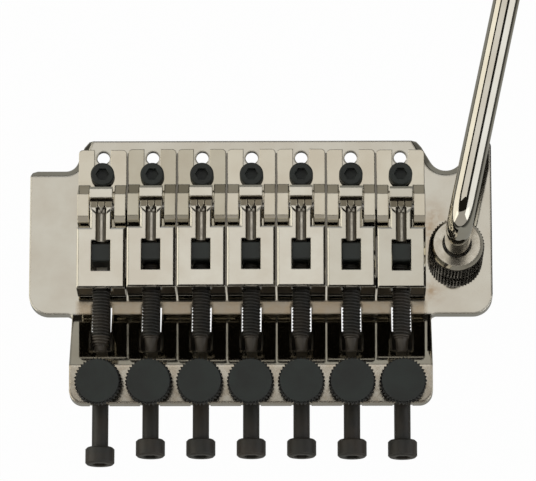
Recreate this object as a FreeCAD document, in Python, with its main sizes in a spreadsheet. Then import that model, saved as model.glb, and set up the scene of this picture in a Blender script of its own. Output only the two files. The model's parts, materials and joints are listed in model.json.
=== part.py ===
import FreeCAD, Part
import math
import os
import re
import Sketcher

# Guitar tremolo bridge: seven string saddles on a base plate that rocks on two knife edges.
# X points to the thin-string side, Y to the neck, Z up.  The knife-edge line lies on Y = 0, Z = 0,
# and X = 0 is the middle string.  Lengths are millimetres and angles are degrees.

STRINGS = (1, 2, 3, 4, 5, 6, 7)
MIDDLE_STRING = 4
STRING_GAPS = len(STRINGS) - 1

SIZES = (
    # Strings
    ("string_pitch", "10.7"),
    ("string_curve", "700"),
    # Base plate, flat part
    ("plate_thickness", "3.0"),
    ("wing_left", "9.4"),
    ("wing_right", "7.85"),
    ("plate_front", "6.4"),
    ("flat_length", "32.1"),
    ("lip_margin", "3.1"),
    ("lip_cut", "1.1"),
    ("left_flank", "3.2"),
    ("left_root_radius", "2.8"),
    ("wing_corner", "1.5"),
    ("wing_rear_radius", "4.3"),
    ("wing_root", "1.0"),
    ("horn_radius", "1.4"),
    ("notch_inset", "1.95"),
    ("notch_radius", "3.8"),
    ("notch_lean", "30"),
    ("knife_bevel", "1.4"),
    ("knife_land", "0.2"),
    # Base plate, ramp and tuner bar
    ("rear_margin", "6.4"),
    ("ramp_angle", "40"),
    ("ramp_rise", "11.5"),
    ("bar_tilt", "8"),
    ("bar_depth", "8.0"),
    ("bar_corner", "2.8"),
    ("slot_width", "4.25"),
    ("slot_lead", "2.1"),
    ("slot_roof", "8.2"),
    # Fits
    ("thread_clearance", "0.05"),
    ("slide_clearance", "0.1"),
    ("press_clearance", "0.02"),
    ("seat_clearance", "0.05"),
    ("cut_overrun", "5.0"),
    ("pick_tolerance", "0.02"),
    # Intonation screws
    ("intonation_run", "2.2"),
    ("intonation_spacing", "4.8"),
    ("intonation_hole", "2.7"),
    ("spare_relief", "4.0"),
    ("spare_land", "0.9"),
    ("intonation_head", "5.1"),
    ("intonation_head_height", "1.8"),
    ("intonation_head_edge", "0.25"),
    ("intonation_key", "2.5"),
    ("intonation_key_depth", "1.2"),
    ("intonation_tail", "0.8"),
    # Saddle feet, measured from the intonation screw
    ("saddle_gap", "0.35"),
    ("foot_thickness", "3.0"),
    ("foot_front", "6.0"),
    ("foot_corner", "0.9"),
    ("foot_slot", "3.5"),
    ("foot_slot_end", "1.3"),
    ("ear_gap", "5.4"),
    ("ear_slope_start", "1.9"),
    ("ear_top_start", "5.1"),
    ("ear_top_end", "9.9"),
    ("ear_rear", "11.3"),
    ("ear_rear_lean", "30"),
    ("ear_height", "8.0"),
    ("ear_floor_start", "3.3"),
    ("ear_floor", "2.1"),
    ("pivot_run", "7.5"),
    ("pivot_height", "5.0"),
    ("pivot_diameter", "2.0"),
    # Saddle levers, measured from the intonation screw
    ("lever_height", "10.0"),
    ("lever_underside", "1.35"),
    ("lever_front", "12.75"),
    ("lever_rear", "26.1"),
    ("lever_edge", "0.45"),
    ("lever_edge_drop", "0.19"),
    ("tongue_underside", "3.0"),
    ("rail_width", "4.7"),
    ("rail_slant", "2.0"),
    ("groove_end", "6.75"),
    ("facet_end", "8.25"),
    ("facet_depth", "1.05"),
    ("facet_lean", "20"),
    ("gate_width", "1.7"),
    ("gate_depth", "1.6"),
    ("wedge_width", "1.3"),
    ("wedge_straight", "1.0"),
    ("wedge_tip", "0.9"),
    ("nose_width", "4.9"),
    ("nose_height", "11.0"),
    ("nose_front", "3.9"),
    ("nose_slope", "0.6"),
    ("nose_top_end", "6.45"),
    ("valley_height", "8.2"),
    ("channel_width", "2.2"),
    ("channel_depth", "1.9"),
    ("pocket_width", "4.1"),
    ("pocket_front", "15.55"),
    ("pocket_rear", "22.3"),
    ("pocket_floor", "2.6"),
    # Insert blocks
    ("insert_length", "3.8"),
    ("insert_gap", "0.65"),
    ("insert_sink", "0.5"),
    ("insert_edge", "0.25"),
    # Lock screws, measured from the intonation screw
    ("lock_height", "4.6"),
    ("lock_diameter", "4.0"),
    ("lock_point", "2.8"),
    ("lock_point_length", "0.7"),
    ("lock_thread_end", "35.8"),
    ("lock_relief", "3.3"),
    ("lock_relief_end", "36.3"),
    ("lock_neck_front", "2.9"),
    ("lock_neck_rear", "2.3"),
    ("lock_neck_end", "39.8"),
    ("lock_shank_start", "40.8"),
    ("lock_shank", "3.5"),
    ("lock_head_start", "58.4"),
    ("lock_head_length", "3.6"),
    ("lock_head", "6.2"),
    ("lock_head_edge", "0.35"),
    ("lock_key", "3.0"),
    ("lock_key_depth", "2.2"),
    # Fine tuners
    ("tuner_setback", "3.85"),
    ("tuner_diameter", "3.8"),
    ("tuner_head", "9.9"),
    ("tuner_head_height", "6.5"),
    ("tuner_head_edge", "0.45"),
    ("tuner_lift", "2.7"),
    ("tuner_tip_radius", "1.6"),
    ("tuner_tip_clearance", "0.1"),
    # Spring comb
    ("comb_thickness", "0.6"),
    ("comb_strip", "6.2"),
    ("comb_setback", "3.7"),
    ("comb_margin", "2.3"),
    ("finger_width", "3.0"),
    ("finger_lead", "1.3"),
    ("finger_margin", "4.05"),
    ("paddle_width", "7.0"),
    ("paddle_lead", "2.0"),
    ("comb_touch_clearance", "0.08"),
    ("comb_screw", "2.2"),
    ("comb_screw_head", "4.4"),
    ("comb_screw_head_height", "1.4"),
    ("comb_screw_reach", "2.6"),
    ("comb_key", "1.5"),
    ("comb_key_depth", "0.8"),
    # Sustain block
    ("block_front", "4.2"),
    ("block_rear", "19.5"),
    ("block_margin", "2.3"),
    ("block_height", "34.0"),
    ("block_taper", "2.0"),
    ("block_edge", "0.8"),
    ("block_screw_run", "12.0"),
    ("block_screw_spread", "24.0"),
    ("block_screw", "4.0"),
    ("block_screw_head", "8.0"),
    ("block_screw_cone", "2.0"),
    ("block_screw_reach", "9.0"),
    ("block_key", "2.5"),
    ("block_key_depth", "1.2"),
    ("block_hole_spare", "1.5"),
    ("spring_hole", "3.0"),
    ("spring_hole_depth", "12.0"),
    ("spring_hole_pitch", "11.0"),
    ("spring_hole_run", "12.0"),
    # Arm and its socket
    ("arm_gap", "0.725"),
    ("arm_run", "18.75"),
    ("socket_diameter", "9.0"),
    ("socket_bore", "7.4"),
    ("socket_flange", "11.4"),
    ("socket_flange_height", "0.8"),
    ("socket_rise", "6.7"),
    ("socket_depth", "13.0"),
    ("washer_diameter", "13.0"),
    ("washer_thickness", "1.0"),
    ("nut_flats", "13.0"),
    ("nut_height", "5.0"),
    ("sleeve_wall_clearance", "0.05"),
    ("friction_washer_thickness", "0.6"),
    ("friction_washer_diameter", "8.6"),
    ("collar_diameter", "11.9"),
    ("collar_top", "9.0"),
    ("collar_edge", "0.97"),
    ("collar_slope", "1.5"),
    ("collar_foot_gap", "0.1"),
    ("collar_mouth", "6.2"),
    ("arm_diameter", "5.5"),
    ("arm_overhang", "2.0"),
    ("arm_rise", "21.65"),
    ("arm_bend", "6.0"),
    ("arm_climb", "7"),
    ("arm_swing", "12.2"),
    ("arm_reach", "64.6"),
    ("arm_second_bend", "40.0"),
    ("arm_level", "3"),
    ("arm_tail", "50.0"),
    ("arm_tip_round", "2.4"),
    ("arm_groove", "1.0"),
    ("arm_groove_depth", "0.6"),
    ("arm_groove_rise", "0.8"),
    ("clip_diameter", "8.2"),
)

# How far each saddle stands behind the row of intonation screws, and how far each lock screw is backed off
SETBACKS = ("0.17", "0", "0", "0", "0", "0.12", "0.22")
BACKOFFS = ("1.5", "0", "0", "0", "0", "0", "0")

# Corners of a hexagon as shares of its corner radius, and the quarter-round share of a corner
HEXAGON_SHARES = ((1, 0), (0.5, 1), (-0.5, 1), (-1, 0), (-0.5, -1), (0.5, -1))
QUARTER_ROUND_SHARE = 1 - math.sqrt(0.5)

doc = FreeCAD.newDocument("tremolo_bridge")
sheet = doc.addObject("Spreadsheet::Sheet", "Sizes")
rows = list(SIZES)
rows += [(f"setback_of_{n}", value) for n, value in zip(STRINGS, SETBACKS)]
rows += [(f"backoff_of_{n}", value) for n, value in zip(STRINGS, BACKOFFS)]
for line, (name, value) in enumerate(rows, start=1):
    sheet.set(f"A{line}", name)
    sheet.set(f"B{line}", value)
    sheet.setAlias(f"B{line}", name)
doc.recompute()
NAMES = {name for name, value in rows}

# Heights and places that several pieces share, written as sums of the named sizes
PLATE_TOP = "(knife_bevel + knife_land / 2)"
PLATE_BOTTOM = f"({PLATE_TOP} - plate_thickness)"
OUTER_STRING = f"({STRING_GAPS} / 2 * string_pitch)"
REAR_HALF = f"({OUTER_STRING} + rear_margin)"
SADDLE_WIDTH = "(string_pitch - saddle_gap)"
ARM_ACROSS = f"({OUTER_STRING} + ({SADDLE_WIDTH} + collar_diameter) / 2 + arm_gap)"
PLATE_LEFT = f"({REAR_HALF} + wing_left)"
PLATE_RIGHT = f"({ARM_ACROSS} + wing_right)"
LIP_LEFT = f"({OUTER_STRING} + lip_margin)"
LEFT_ROOT = f"({LIP_LEFT} + left_flank)"
RAMP_RUN = "(ramp_rise / tan(ramp_angle))"
BAR_FRONT = f"(flat_length + {RAMP_RUN})"
BAR_REAR = f"({BAR_FRONT} + bar_depth)"
BAR_FRONT_Z = f"({PLATE_TOP} + ramp_rise)"
BAR_REAR_Z = f"({BAR_FRONT_Z} - bar_depth * tan(bar_tilt))"
TUNER_RUN = f"({BAR_FRONT} + tuner_setback)"
TUNER_Z = f"({BAR_FRONT_Z} - tuner_setback * tan(bar_tilt))"
ARM_DEPTH = "(plate_thickness + socket_depth + arm_overhang)"
SLOT_START = "(flat_length - slot_lead)"
COMB_END = "(flat_length - comb_setback)"
COMB_START = f"({COMB_END} - comb_strip)"
COMB_MIDDLE = f"({COMB_END} - comb_strip / 2)"
COMB_SPREAD = f"({OUTER_STRING} - string_pitch / 2)"
COMB_HALF = f"({OUTER_STRING} + comb_margin)"
FINGER_BEND = "(flat_length + finger_lead)"
FINGER_TOUCH = f"({TUNER_RUN} - finger_margin)"
PADDLE_START = f"({FINGER_BEND} + paddle_lead)"
BLOCK_HALF = f"({OUTER_STRING} + block_margin)"
NOTCH_CENTRE = f"({ARM_ACROSS} - notch_inset)"
NOTCH_ROOT = "(notch_radius - notch_radius / sin(notch_lean))"
NOTCH_HALF = f"((plate_front - lip_cut - {NOTCH_ROOT}) * tan(notch_lean))"


def bind(text):
    """Put the sheet's name before every named size in an expression."""
    def owner(match):
        word = match.group(0)
        return f"Sizes.{word}" if word in NAMES else word
    return re.sub(r"[A-Za-z_][A-Za-z_0-9]*", owner, str(text))


def value(text):
    """Work an expression out in plain millimetres or degrees."""
    result = sheet.evalExpression(bind(text))
    return float(getattr(result, "Value", result))


def across(n):
    """Where string n lies along X."""
    return f"(({n} - {MIDDLE_STRING}) * string_pitch)"


def string_drop(n):
    """How far string n lies below the middle string on the curve of the strings."""
    return f"({across(n)} * {across(n)} / (2 * string_curve))"


def tie(item, prop, text):
    """Bind one property of an object to an expression of named sizes."""
    item.setExpression(prop, bind(text))


def new_body(label):
    """Start an empty body."""
    body = doc.addObject("PartDesign::Body", label)
    body.Label = label
    return body


def new_sketch(body, name, role, offset="0"):
    """A sketch on one of the body's own planes, moved along the plane's normal."""
    sketch = body.newObject("Sketcher::SketchObject", f"{body.Name}_{name}")
    plane = [item for item in body.Origin.OriginFeatures if item.Role == role][0]
    sketch.AttachmentSupport = [(plane, "")]
    sketch.MapMode = "FlatFace"
    if offset != "0":
        tie(sketch, "AttachmentOffset.Base.z", offset)
    return sketch


def hold(sketch, name, constraint, text):
    """Add one constraint and bind its value."""
    index = sketch.addConstraint(constraint)
    sketch.renameConstraint(index, name)
    tie(sketch, f"Constraints.{name}", text)


def outline(body, name, role, points, offset="0"):
    """A closed outline of straight lines through points given as pairs of expressions."""
    sketch = new_sketch(body, name, role, offset)
    places = [FreeCAD.Vector(value(x), value(y), 0) for x, y in points]
    count = len(points)
    for k in range(count):
        sketch.addGeometry(Part.LineSegment(places[k], places[(k + 1) % count]))
    for k in range(count):
        sketch.addConstraint(Sketcher.Constraint("Coincident", k, 2, (k + 1) % count, 1))
    for k, (x, y) in enumerate(points):
        hold(sketch, f"x_{k}", Sketcher.Constraint("DistanceX", -1, 1, k, 1, places[k].x), x)
        hold(sketch, f"y_{k}", Sketcher.Constraint("DistanceY", -1, 1, k, 1, places[k].y), y)
    return sketch


def ring(body, name, role, x, y, radius, offset="0"):
    """One circle."""
    sketch = new_sketch(body, name, role, offset)
    centre = FreeCAD.Vector(value(x), value(y), 0)
    circle = Part.Circle(centre, FreeCAD.Vector(0, 0, 1), value(radius))
    sketch.addGeometry(circle)
    hold(sketch, "x", Sketcher.Constraint("DistanceX", -1, 1, 0, 3, centre.x), x)
    hold(sketch, "y", Sketcher.Constraint("DistanceY", -1, 1, 0, 3, centre.y), y)
    hold(sketch, "radius", Sketcher.Constraint("Radius", 0, value(radius)), radius)
    return sketch


def hexagon(body, name, flats, offset):
    """A hexagon round the Z axis, from its size across the flats."""
    corner = f"({flats} / sqrt(3))"
    points = [(f"{corner} * {x}", f"{flats} / 2 * {y}") for x, y in HEXAGON_SHARES]
    return outline(body, name, "XY_Plane", points, offset)


def extrude(body, kind, sketch, length=None, symmetric=False, backwards=False):
    """A pad or a pocket.  Without a length it goes through everything on both sides."""
    feature = body.newObject(f"PartDesign::{kind}", f"{sketch.Name}_{kind.lower()}")
    feature.Profile = sketch
    if length is None:
        feature.Type = "ThroughAll"
        feature.SideType = "Symmetric"
    else:
        tie(feature, "Length", length)
        feature.SideType = "Symmetric" if symmetric else "One side"
        feature.Reversed = backwards
    body.Tip = feature
    return feature


def repeat(body, feature, sketch, length, count, axis="H_Axis"):
    """Repeat a feature in a straight row."""
    row = body.newObject("PartDesign::LinearPattern", f"{feature.Name}_row")
    row.Originals = [feature]
    row.Direction = (sketch, [axis])
    tie(row, "Length", length)
    row.Occurrences = count
    body.Tip = row
    return row


def soften(body, kind, size, wanted):
    """Round or bevel the edges for which wanted(edge) holds."""
    doc.recompute()
    base = body.Tip
    names = [f"Edge{k}" for k, edge in enumerate(base.Shape.Edges, start=1) if wanted(edge)]
    if not names:
        raise RuntimeError(f"{body.Label}: no edge to soften")
    feature = body.newObject(f"PartDesign::{kind}", f"{body.Name}_{kind.lower()}_{len(body.Group)}")
    feature.Base = (base, names)
    tie(feature, "Radius" if kind == "Fillet" else "Size", size)
    body.Tip = feature
    return feature


def turned(label, points):
    """A body of revolution round Z from (radius, height) points."""
    body = new_body(label)
    sketch = outline(body, "profile", "XZ_Plane", points)
    feature = body.newObject("PartDesign::Revolution", f"{label}_turn")
    feature.Profile = sketch
    feature.ReferenceAxis = (sketch, ["V_Axis"])
    feature.Angle = 360
    body.Tip = feature
    return body


def place(item, x, y, z, axis=None, angle="0"):
    """Set where an object stands, with an optional turn about one axis."""
    if axis is not None:
        item.Placement = FreeCAD.Placement(FreeCAD.Vector(0, 0, 0), axis, value(angle))
        tie(item, "Placement.Rotation.Angle", angle)
    tie(item, "Placement.Base.x", x)
    tie(item, "Placement.Base.y", y)
    tie(item, "Placement.Base.z", z)


def group(label, bodies):
    """Several like bodies kept as one named piece."""
    item = doc.addObject("Part::Compound", label)
    item.Label = label
    item.Links = bodies
    return item


ABOUT_X = FreeCAD.Vector(1, 0, 0)
ABOUT_Z = FreeCAD.Vector(0, 0, 1)
nodes = []


def spans(edge, axis):
    """Lowest and highest place of an edge along one axis."""
    box = edge.BoundBox
    return getattr(box, f"{axis}Min"), getattr(box, f"{axis}Max")


def upright_at(points):
    """Choose upright edges that stand on any of the given (x, y) places."""
    tolerance = value("pick_tolerance")
    places = [(value(x), value(y)) for x, y in points]

    def wanted(edge):
        middle = edge.CenterOfMass
        low, high = spans(edge, "Z")
        if high - low < tolerance or edge.BoundBox.XLength > tolerance or edge.BoundBox.YLength > tolerance:
            return False
        return any(math.hypot(middle.x - x, middle.y - y) < tolerance for x, y in places)
    return wanted


# Base plate: flat part with two wings, then the ramp and the bar that carries the fine tuners
def make_base_plate():
    body = new_body("base_plate")
    share = QUARTER_ROUND_SHARE
    left_lip = f"-({LIP_LEFT} + lip_cut)"
    flat = [
        (f"-{LIP_LEFT}", "plate_front"),
        (left_lip, "plate_front - lip_cut"),
        (f"-{LEFT_ROOT}", "0"),
        (f"-{PLATE_LEFT} + wing_corner", "0"),
        (f"-{PLATE_LEFT} + wing_corner * {share}", f"-wing_corner * {share}"),
        (f"-{PLATE_LEFT}", "-wing_corner"),
        (f"-{PLATE_LEFT}", "-flat_length"),
        (f"-{REAR_HALF} - wing_root", "-flat_length"),
        (f"-{REAR_HALF} - wing_root * {share}", f"-flat_length - wing_root * {share}"),
        (f"-{REAR_HALF}", "-flat_length - wing_root"),
        (REAR_HALF, "-flat_length - wing_root"),
        (f"{REAR_HALF} + wing_root * {share}", f"-flat_length - wing_root * {share}"),
        (f"{REAR_HALF} + wing_root", "-flat_length"),
        (PLATE_RIGHT, "-flat_length"),
        (PLATE_RIGHT, "plate_front"),
        (f"{NOTCH_CENTRE} + {NOTCH_HALF} + lip_cut", "plate_front"),
        (f"{NOTCH_CENTRE} + {NOTCH_HALF}", "plate_front - lip_cut"),
        (NOTCH_CENTRE, NOTCH_ROOT),
        (f"{NOTCH_CENTRE} - {NOTCH_HALF}", "plate_front - lip_cut"),
        (f"{NOTCH_CENTRE} - {NOTCH_HALF} - lip_cut", "plate_front"),
    ]
    extrude(body, "Pad", outline(body, "flat", "XY_Plane", flat, PLATE_BOTTOM), "plate_thickness")

    under_front = "flat_length + plate_thickness * tan(ramp_angle / 2)"
    spread = "plate_thickness / (1 + cos(ramp_angle + bar_tilt))"
    under_bar_y = f"{BAR_FRONT} + {spread} * (sin(ramp_angle) - sin(bar_tilt))"
    under_bar_z = f"{BAR_FRONT_Z} - {spread} * (cos(ramp_angle) + cos(bar_tilt))"
    side = [
        ("-flat_length", PLATE_BOTTOM),
        ("-flat_length", PLATE_TOP),
        (f"-{BAR_FRONT}", BAR_FRONT_Z),
        (f"-{BAR_REAR}", BAR_REAR_Z),
        (f"-{BAR_REAR}", f"{BAR_REAR_Z} - plate_thickness / cos(bar_tilt)"),
        (f"-({under_bar_y})", under_bar_z),
        (f"-({under_front})", PLATE_BOTTOM),
    ]
    extrude(body, "Pad", outline(body, "rise", "YZ_Plane", side), f"2 * {REAR_HALF}", symmetric=True)

    soften(body, "Fillet", "left_root_radius", upright_at([(f"-{LEFT_ROOT}", "0")]))
    soften(body, "Fillet", "notch_radius", upright_at([(NOTCH_CENTRE, NOTCH_ROOT)]))
    low_line = value("-pick_tolerance")
    high_line = value("plate_front - lip_cut + pick_tolerance")

    def knife(height):
        level = value(height)

        def wanted(edge):
            y_low, y_high = spans(edge, "Y")
            z_low, z_high = spans(edge, "Z")
            near = value("pick_tolerance")
            flat_edge = abs(z_low - level) < near and z_high - z_low < near
            return flat_edge and y_low > low_line and y_high < high_line
        return wanted

    soften(body, "Chamfer", "knife_bevel", knife(PLATE_TOP))
    soften(body, "Chamfer", "plate_thickness - knife_bevel - knife_land", knife(PLATE_BOTTOM))
    rear_corners = [(f"-{PLATE_LEFT}", "-flat_length"), (PLATE_RIGHT, "-flat_length")]
    soften(body, "Fillet", "wing_rear_radius", upright_at(rear_corners))
    soften(body, "Fillet", "horn_radius", upright_at([(PLATE_RIGHT, "plate_front")]))
    bar_corners = [(f"-{REAR_HALF}", f"-{BAR_REAR}"), (REAR_HALF, f"-{BAR_REAR}")]
    soften(body, "Fillet", "bar_corner", upright_at(bar_corners))

    slot = [
        (f"-{SLOT_START}", f"{PLATE_BOTTOM} - cut_overrun"),
        (f"-{SLOT_START}", f"{PLATE_TOP} + slot_roof"),
        (f"-{BAR_REAR} - cut_overrun", f"{PLATE_TOP} + slot_roof"),
        (f"-{BAR_REAR} - cut_overrun", f"{PLATE_BOTTOM} - cut_overrun"),
    ]
    sketch = outline(body, "slot", "YZ_Plane", slot, across(STRINGS[0]))
    first = extrude(body, "Pocket", sketch, "slot_width", symmetric=True)
    repeat(body, first, sketch, f"{STRING_GAPS} * string_pitch", len(STRINGS), "N_Axis")

    for name, run in (("set", "intonation_run"), ("spare", "intonation_run - intonation_spacing")):
        sketch = ring(body, name, "XY_Plane", across(STRINGS[0]), f"-({run})", "intonation_hole / 2")
        first = extrude(body, "Pocket", sketch)
        repeat(body, first, sketch, f"{STRING_GAPS} * string_pitch", len(STRINGS))
    spare = "intonation_spacing - intonation_run"
    sketch = ring(body, "relief", "XY_Plane", across(STRINGS[0]), spare, "spare_relief / 2", PLATE_BOTTOM)
    first = extrude(body, "Pocket", sketch, "plate_thickness - spare_land", backwards=True)
    repeat(body, first, sketch, f"{STRING_GAPS} * string_pitch", len(STRINGS))

    hole = "socket_diameter / 2 + press_clearance"
    sketch = ring(body, "socket", "XY_Plane", ARM_ACROSS, "-arm_run", hole)
    extrude(body, "Pocket", sketch)
    comb_hole = "comb_screw / 2 + thread_clearance"
    sketch = ring(body, "comb", "XY_Plane", f"-{COMB_SPREAD}", f"-{COMB_MIDDLE}", comb_hole)
    first = extrude(body, "Pocket", sketch)
    repeat(body, first, sketch, f"2 * {COMB_SPREAD}", 4)

    # Countersunk holes for the block screws, turned round an upright line
    rim = "block_screw_head / 2 + press_clearance"
    bore = "block_screw / 2 + press_clearance"
    seat = [
        ("-block_screw_spread", f"{PLATE_BOTTOM} - cut_overrun"),
        (f"-block_screw_spread + {bore}", f"{PLATE_BOTTOM} - cut_overrun"),
        (f"-block_screw_spread + {bore}", f"{PLATE_TOP} - block_screw_cone"),
        (f"-block_screw_spread + {rim}", PLATE_TOP),
        (f"-block_screw_spread + {rim}", f"{PLATE_TOP} + cut_overrun"),
        ("-block_screw_spread", f"{PLATE_TOP} + cut_overrun"),
    ]
    sketch = outline(body, "seat", "XZ_Plane", seat, "block_screw_run")
    groove = body.newObject("PartDesign::Groove", "base_plate_seat_groove")
    groove.Profile = sketch
    groove.ReferenceAxis = (sketch, [f"Edge{len(seat)}"])
    groove.Angle = 360
    body.Tip = groove
    repeat(body, groove, sketch, "2 * block_screw_spread", 3)

    # Tuner holes stand square to the tilted bar
    holes = []
    for n in STRINGS:
        hole = doc.addObject("Part::Cylinder", f"tuner_hole_{n}")
        tie(hole, "Radius", "tuner_diameter / 2 + thread_clearance")
        tie(hole, "Height", "plate_thickness + 2 * cut_overrun")
        depth = "(plate_thickness + cut_overrun)"
        y = f"-{TUNER_RUN} + {depth} * sin(bar_tilt)"
        place(hole, across(n), y, f"{TUNER_Z} - {depth} * cos(bar_tilt)", ABOUT_X, "bar_tilt")
        holes.append(hole)
    plate = doc.addObject("Part::Cut", "drilled_plate")
    plate.Base = body
    plate.Tool = group("tuner_holes", holes)
    body.Label = "undrilled_plate"
    plate.Label = "base_plate"
    nodes.append(plate)


make_base_plate()


# Sustain block: the heavy bar under the plate, with the holes that take the tremolo springs
def make_sustain_block():
    body = new_body("sustain_block")
    low = f"{PLATE_BOTTOM} - block_height"
    side = [
        ("-block_front", PLATE_BOTTOM),
        ("-block_rear", PLATE_BOTTOM),
        ("-block_rear + block_taper", low),
        ("-block_front - block_edge", low),
        ("-block_front", f"{low} + block_edge"),
    ]
    extrude(body, "Pad", outline(body, "side", "YZ_Plane", side), f"2 * {BLOCK_HALF}", symmetric=True)
    hole = "spring_hole / 2"
    sketch = ring(body, "spring", "XY_Plane", "-2 * spring_hole_pitch", "-spring_hole_run", hole, low)
    first = extrude(body, "Pocket", sketch, "spring_hole_depth", backwards=True)
    repeat(body, first, sketch, "4 * spring_hole_pitch", 5)
    deep = "block_screw_reach - plate_thickness + block_hole_spare"
    hole = "block_screw / 2 + thread_clearance"
    sketch = ring(body, "screw", "XY_Plane", "-block_screw_spread", "-block_screw_run", hole, PLATE_BOTTOM)
    first = extrude(body, "Pocket", sketch, deep)
    repeat(body, first, sketch, "2 * block_screw_spread", 3)
    ends = [value(f"-{BLOCK_HALF}"), value(BLOCK_HALF)]

    def end_edges(edge):
        x_low, x_high = spans(edge, "X")
        z_low, z_high = spans(edge, "Z")
        near = value("pick_tolerance")
        at_end = any(abs(x_low - end) < near for end in ends)
        below_plate = z_high < value(PLATE_BOTTOM) + near and z_low < value(PLATE_BOTTOM) - near
        return at_end and x_high - x_low < near and below_plate

    soften(body, "Chamfer", "block_edge", end_edges)
    nodes.append(body)


make_sustain_block()


# Countersunk screws that hold the block to the plate
def make_block_screws():
    screws = []
    for k, side in enumerate(("-1", "0", "1"), start=1):
        points = [
            ("0", "-block_screw_reach"),
            ("block_screw / 2", "-block_screw_reach"),
            ("block_screw / 2", "-block_screw_cone"),
            ("block_screw_head / 2", "0"),
            ("0", "0"),
        ]
        screw = turned(f"block_screw_{k}", points)
        extrude(screw, "Pocket", hexagon(screw, "key", "block_key", "0"), "block_key_depth")
        place(screw, f"{side} * block_screw_spread", "-block_screw_run", PLATE_TOP)
        screws.append(screw)
    nodes.append(group("block_screws", screws))


make_block_screws()


# Intonation screws: low socket heads that clamp the saddle feet
def make_intonation_screws():
    screws = []
    for n in STRINGS:
        radius = "intonation_hole / 2 - thread_clearance"
        tail = "-(foot_thickness + plate_thickness + intonation_tail)"
        edge = "intonation_head_edge"
        points = [
            ("0", tail),
            (radius, tail),
            (radius, "0"),
            ("intonation_head / 2", "0"),
            ("intonation_head / 2", f"intonation_head_height - {edge}"),
            (f"intonation_head / 2 - {edge}", "intonation_head_height"),
            ("0", "intonation_head_height"),
        ]
        screw = turned(f"intonation_screw_{n}", points)
        socket = hexagon(screw, "key", "intonation_key", "intonation_head_height")
        extrude(screw, "Pocket", socket, "intonation_key_depth")
        place(screw, across(n), "-intonation_run", f"{PLATE_TOP} + foot_thickness")
        screws.append(screw)
    nodes.append(group("intonation_screws", screws))


make_intonation_screws()


# Saddle feet: slotted foot in front, two ears behind that carry the pivot pin
def make_saddle_foot(n):
    body = new_body(f"saddle_foot_{n}")
    side = [
        ("foot_front", "0"),
        ("foot_front", "foot_thickness"),
        ("-ear_slope_start", "foot_thickness"),
        ("-ear_top_start", "ear_height"),
        ("-ear_top_end", "ear_height"),
        ("-ear_rear", "ear_height - (ear_rear - ear_top_end) * tan(ear_rear_lean)"),
        ("-ear_rear", "0"),
    ]
    extrude(body, "Pad", outline(body, "side", "YZ_Plane", side), SADDLE_WIDTH, symmetric=True)
    gap = [
        ("0", "foot_thickness"),
        ("-ear_floor_start", "foot_thickness"),
        ("-ear_floor_start", "ear_floor"),
        ("-ear_rear - cut_overrun", "ear_floor"),
        ("-ear_rear - cut_overrun", "ear_height + cut_overrun"),
        ("0", "ear_height + cut_overrun"),
    ]
    extrude(body, "Pocket", outline(body, "gap", "YZ_Plane", gap), "ear_gap", symmetric=True)
    slot = [
        ("-foot_slot / 2", "foot_front + cut_overrun"),
        ("-foot_slot / 2", "-foot_slot_end"),
        ("foot_slot / 2", "-foot_slot_end"),
        ("foot_slot / 2", "foot_front + cut_overrun"),
    ]
    extrude(body, "Pocket", outline(body, "slot", "XY_Plane", slot))
    extrude(body, "Pocket", ring(body, "slot_end", "XY_Plane", "0", "-foot_slot_end", "foot_slot / 2"))
    hole = "pivot_diameter / 2 + press_clearance"
    extrude(body, "Pocket", ring(body, "pin", "YZ_Plane", "-pivot_run", "pivot_height", hole))
    corners = [(f"{SADDLE_WIDTH} / 2", "foot_front"), (f"-{SADDLE_WIDTH} / 2", "foot_front")]
    soften(body, "Fillet", "foot_corner", upright_at(corners))
    place(body, across(n), f"-intonation_run - setback_of_{n}", PLATE_TOP)
    nodes.append(body)


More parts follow.
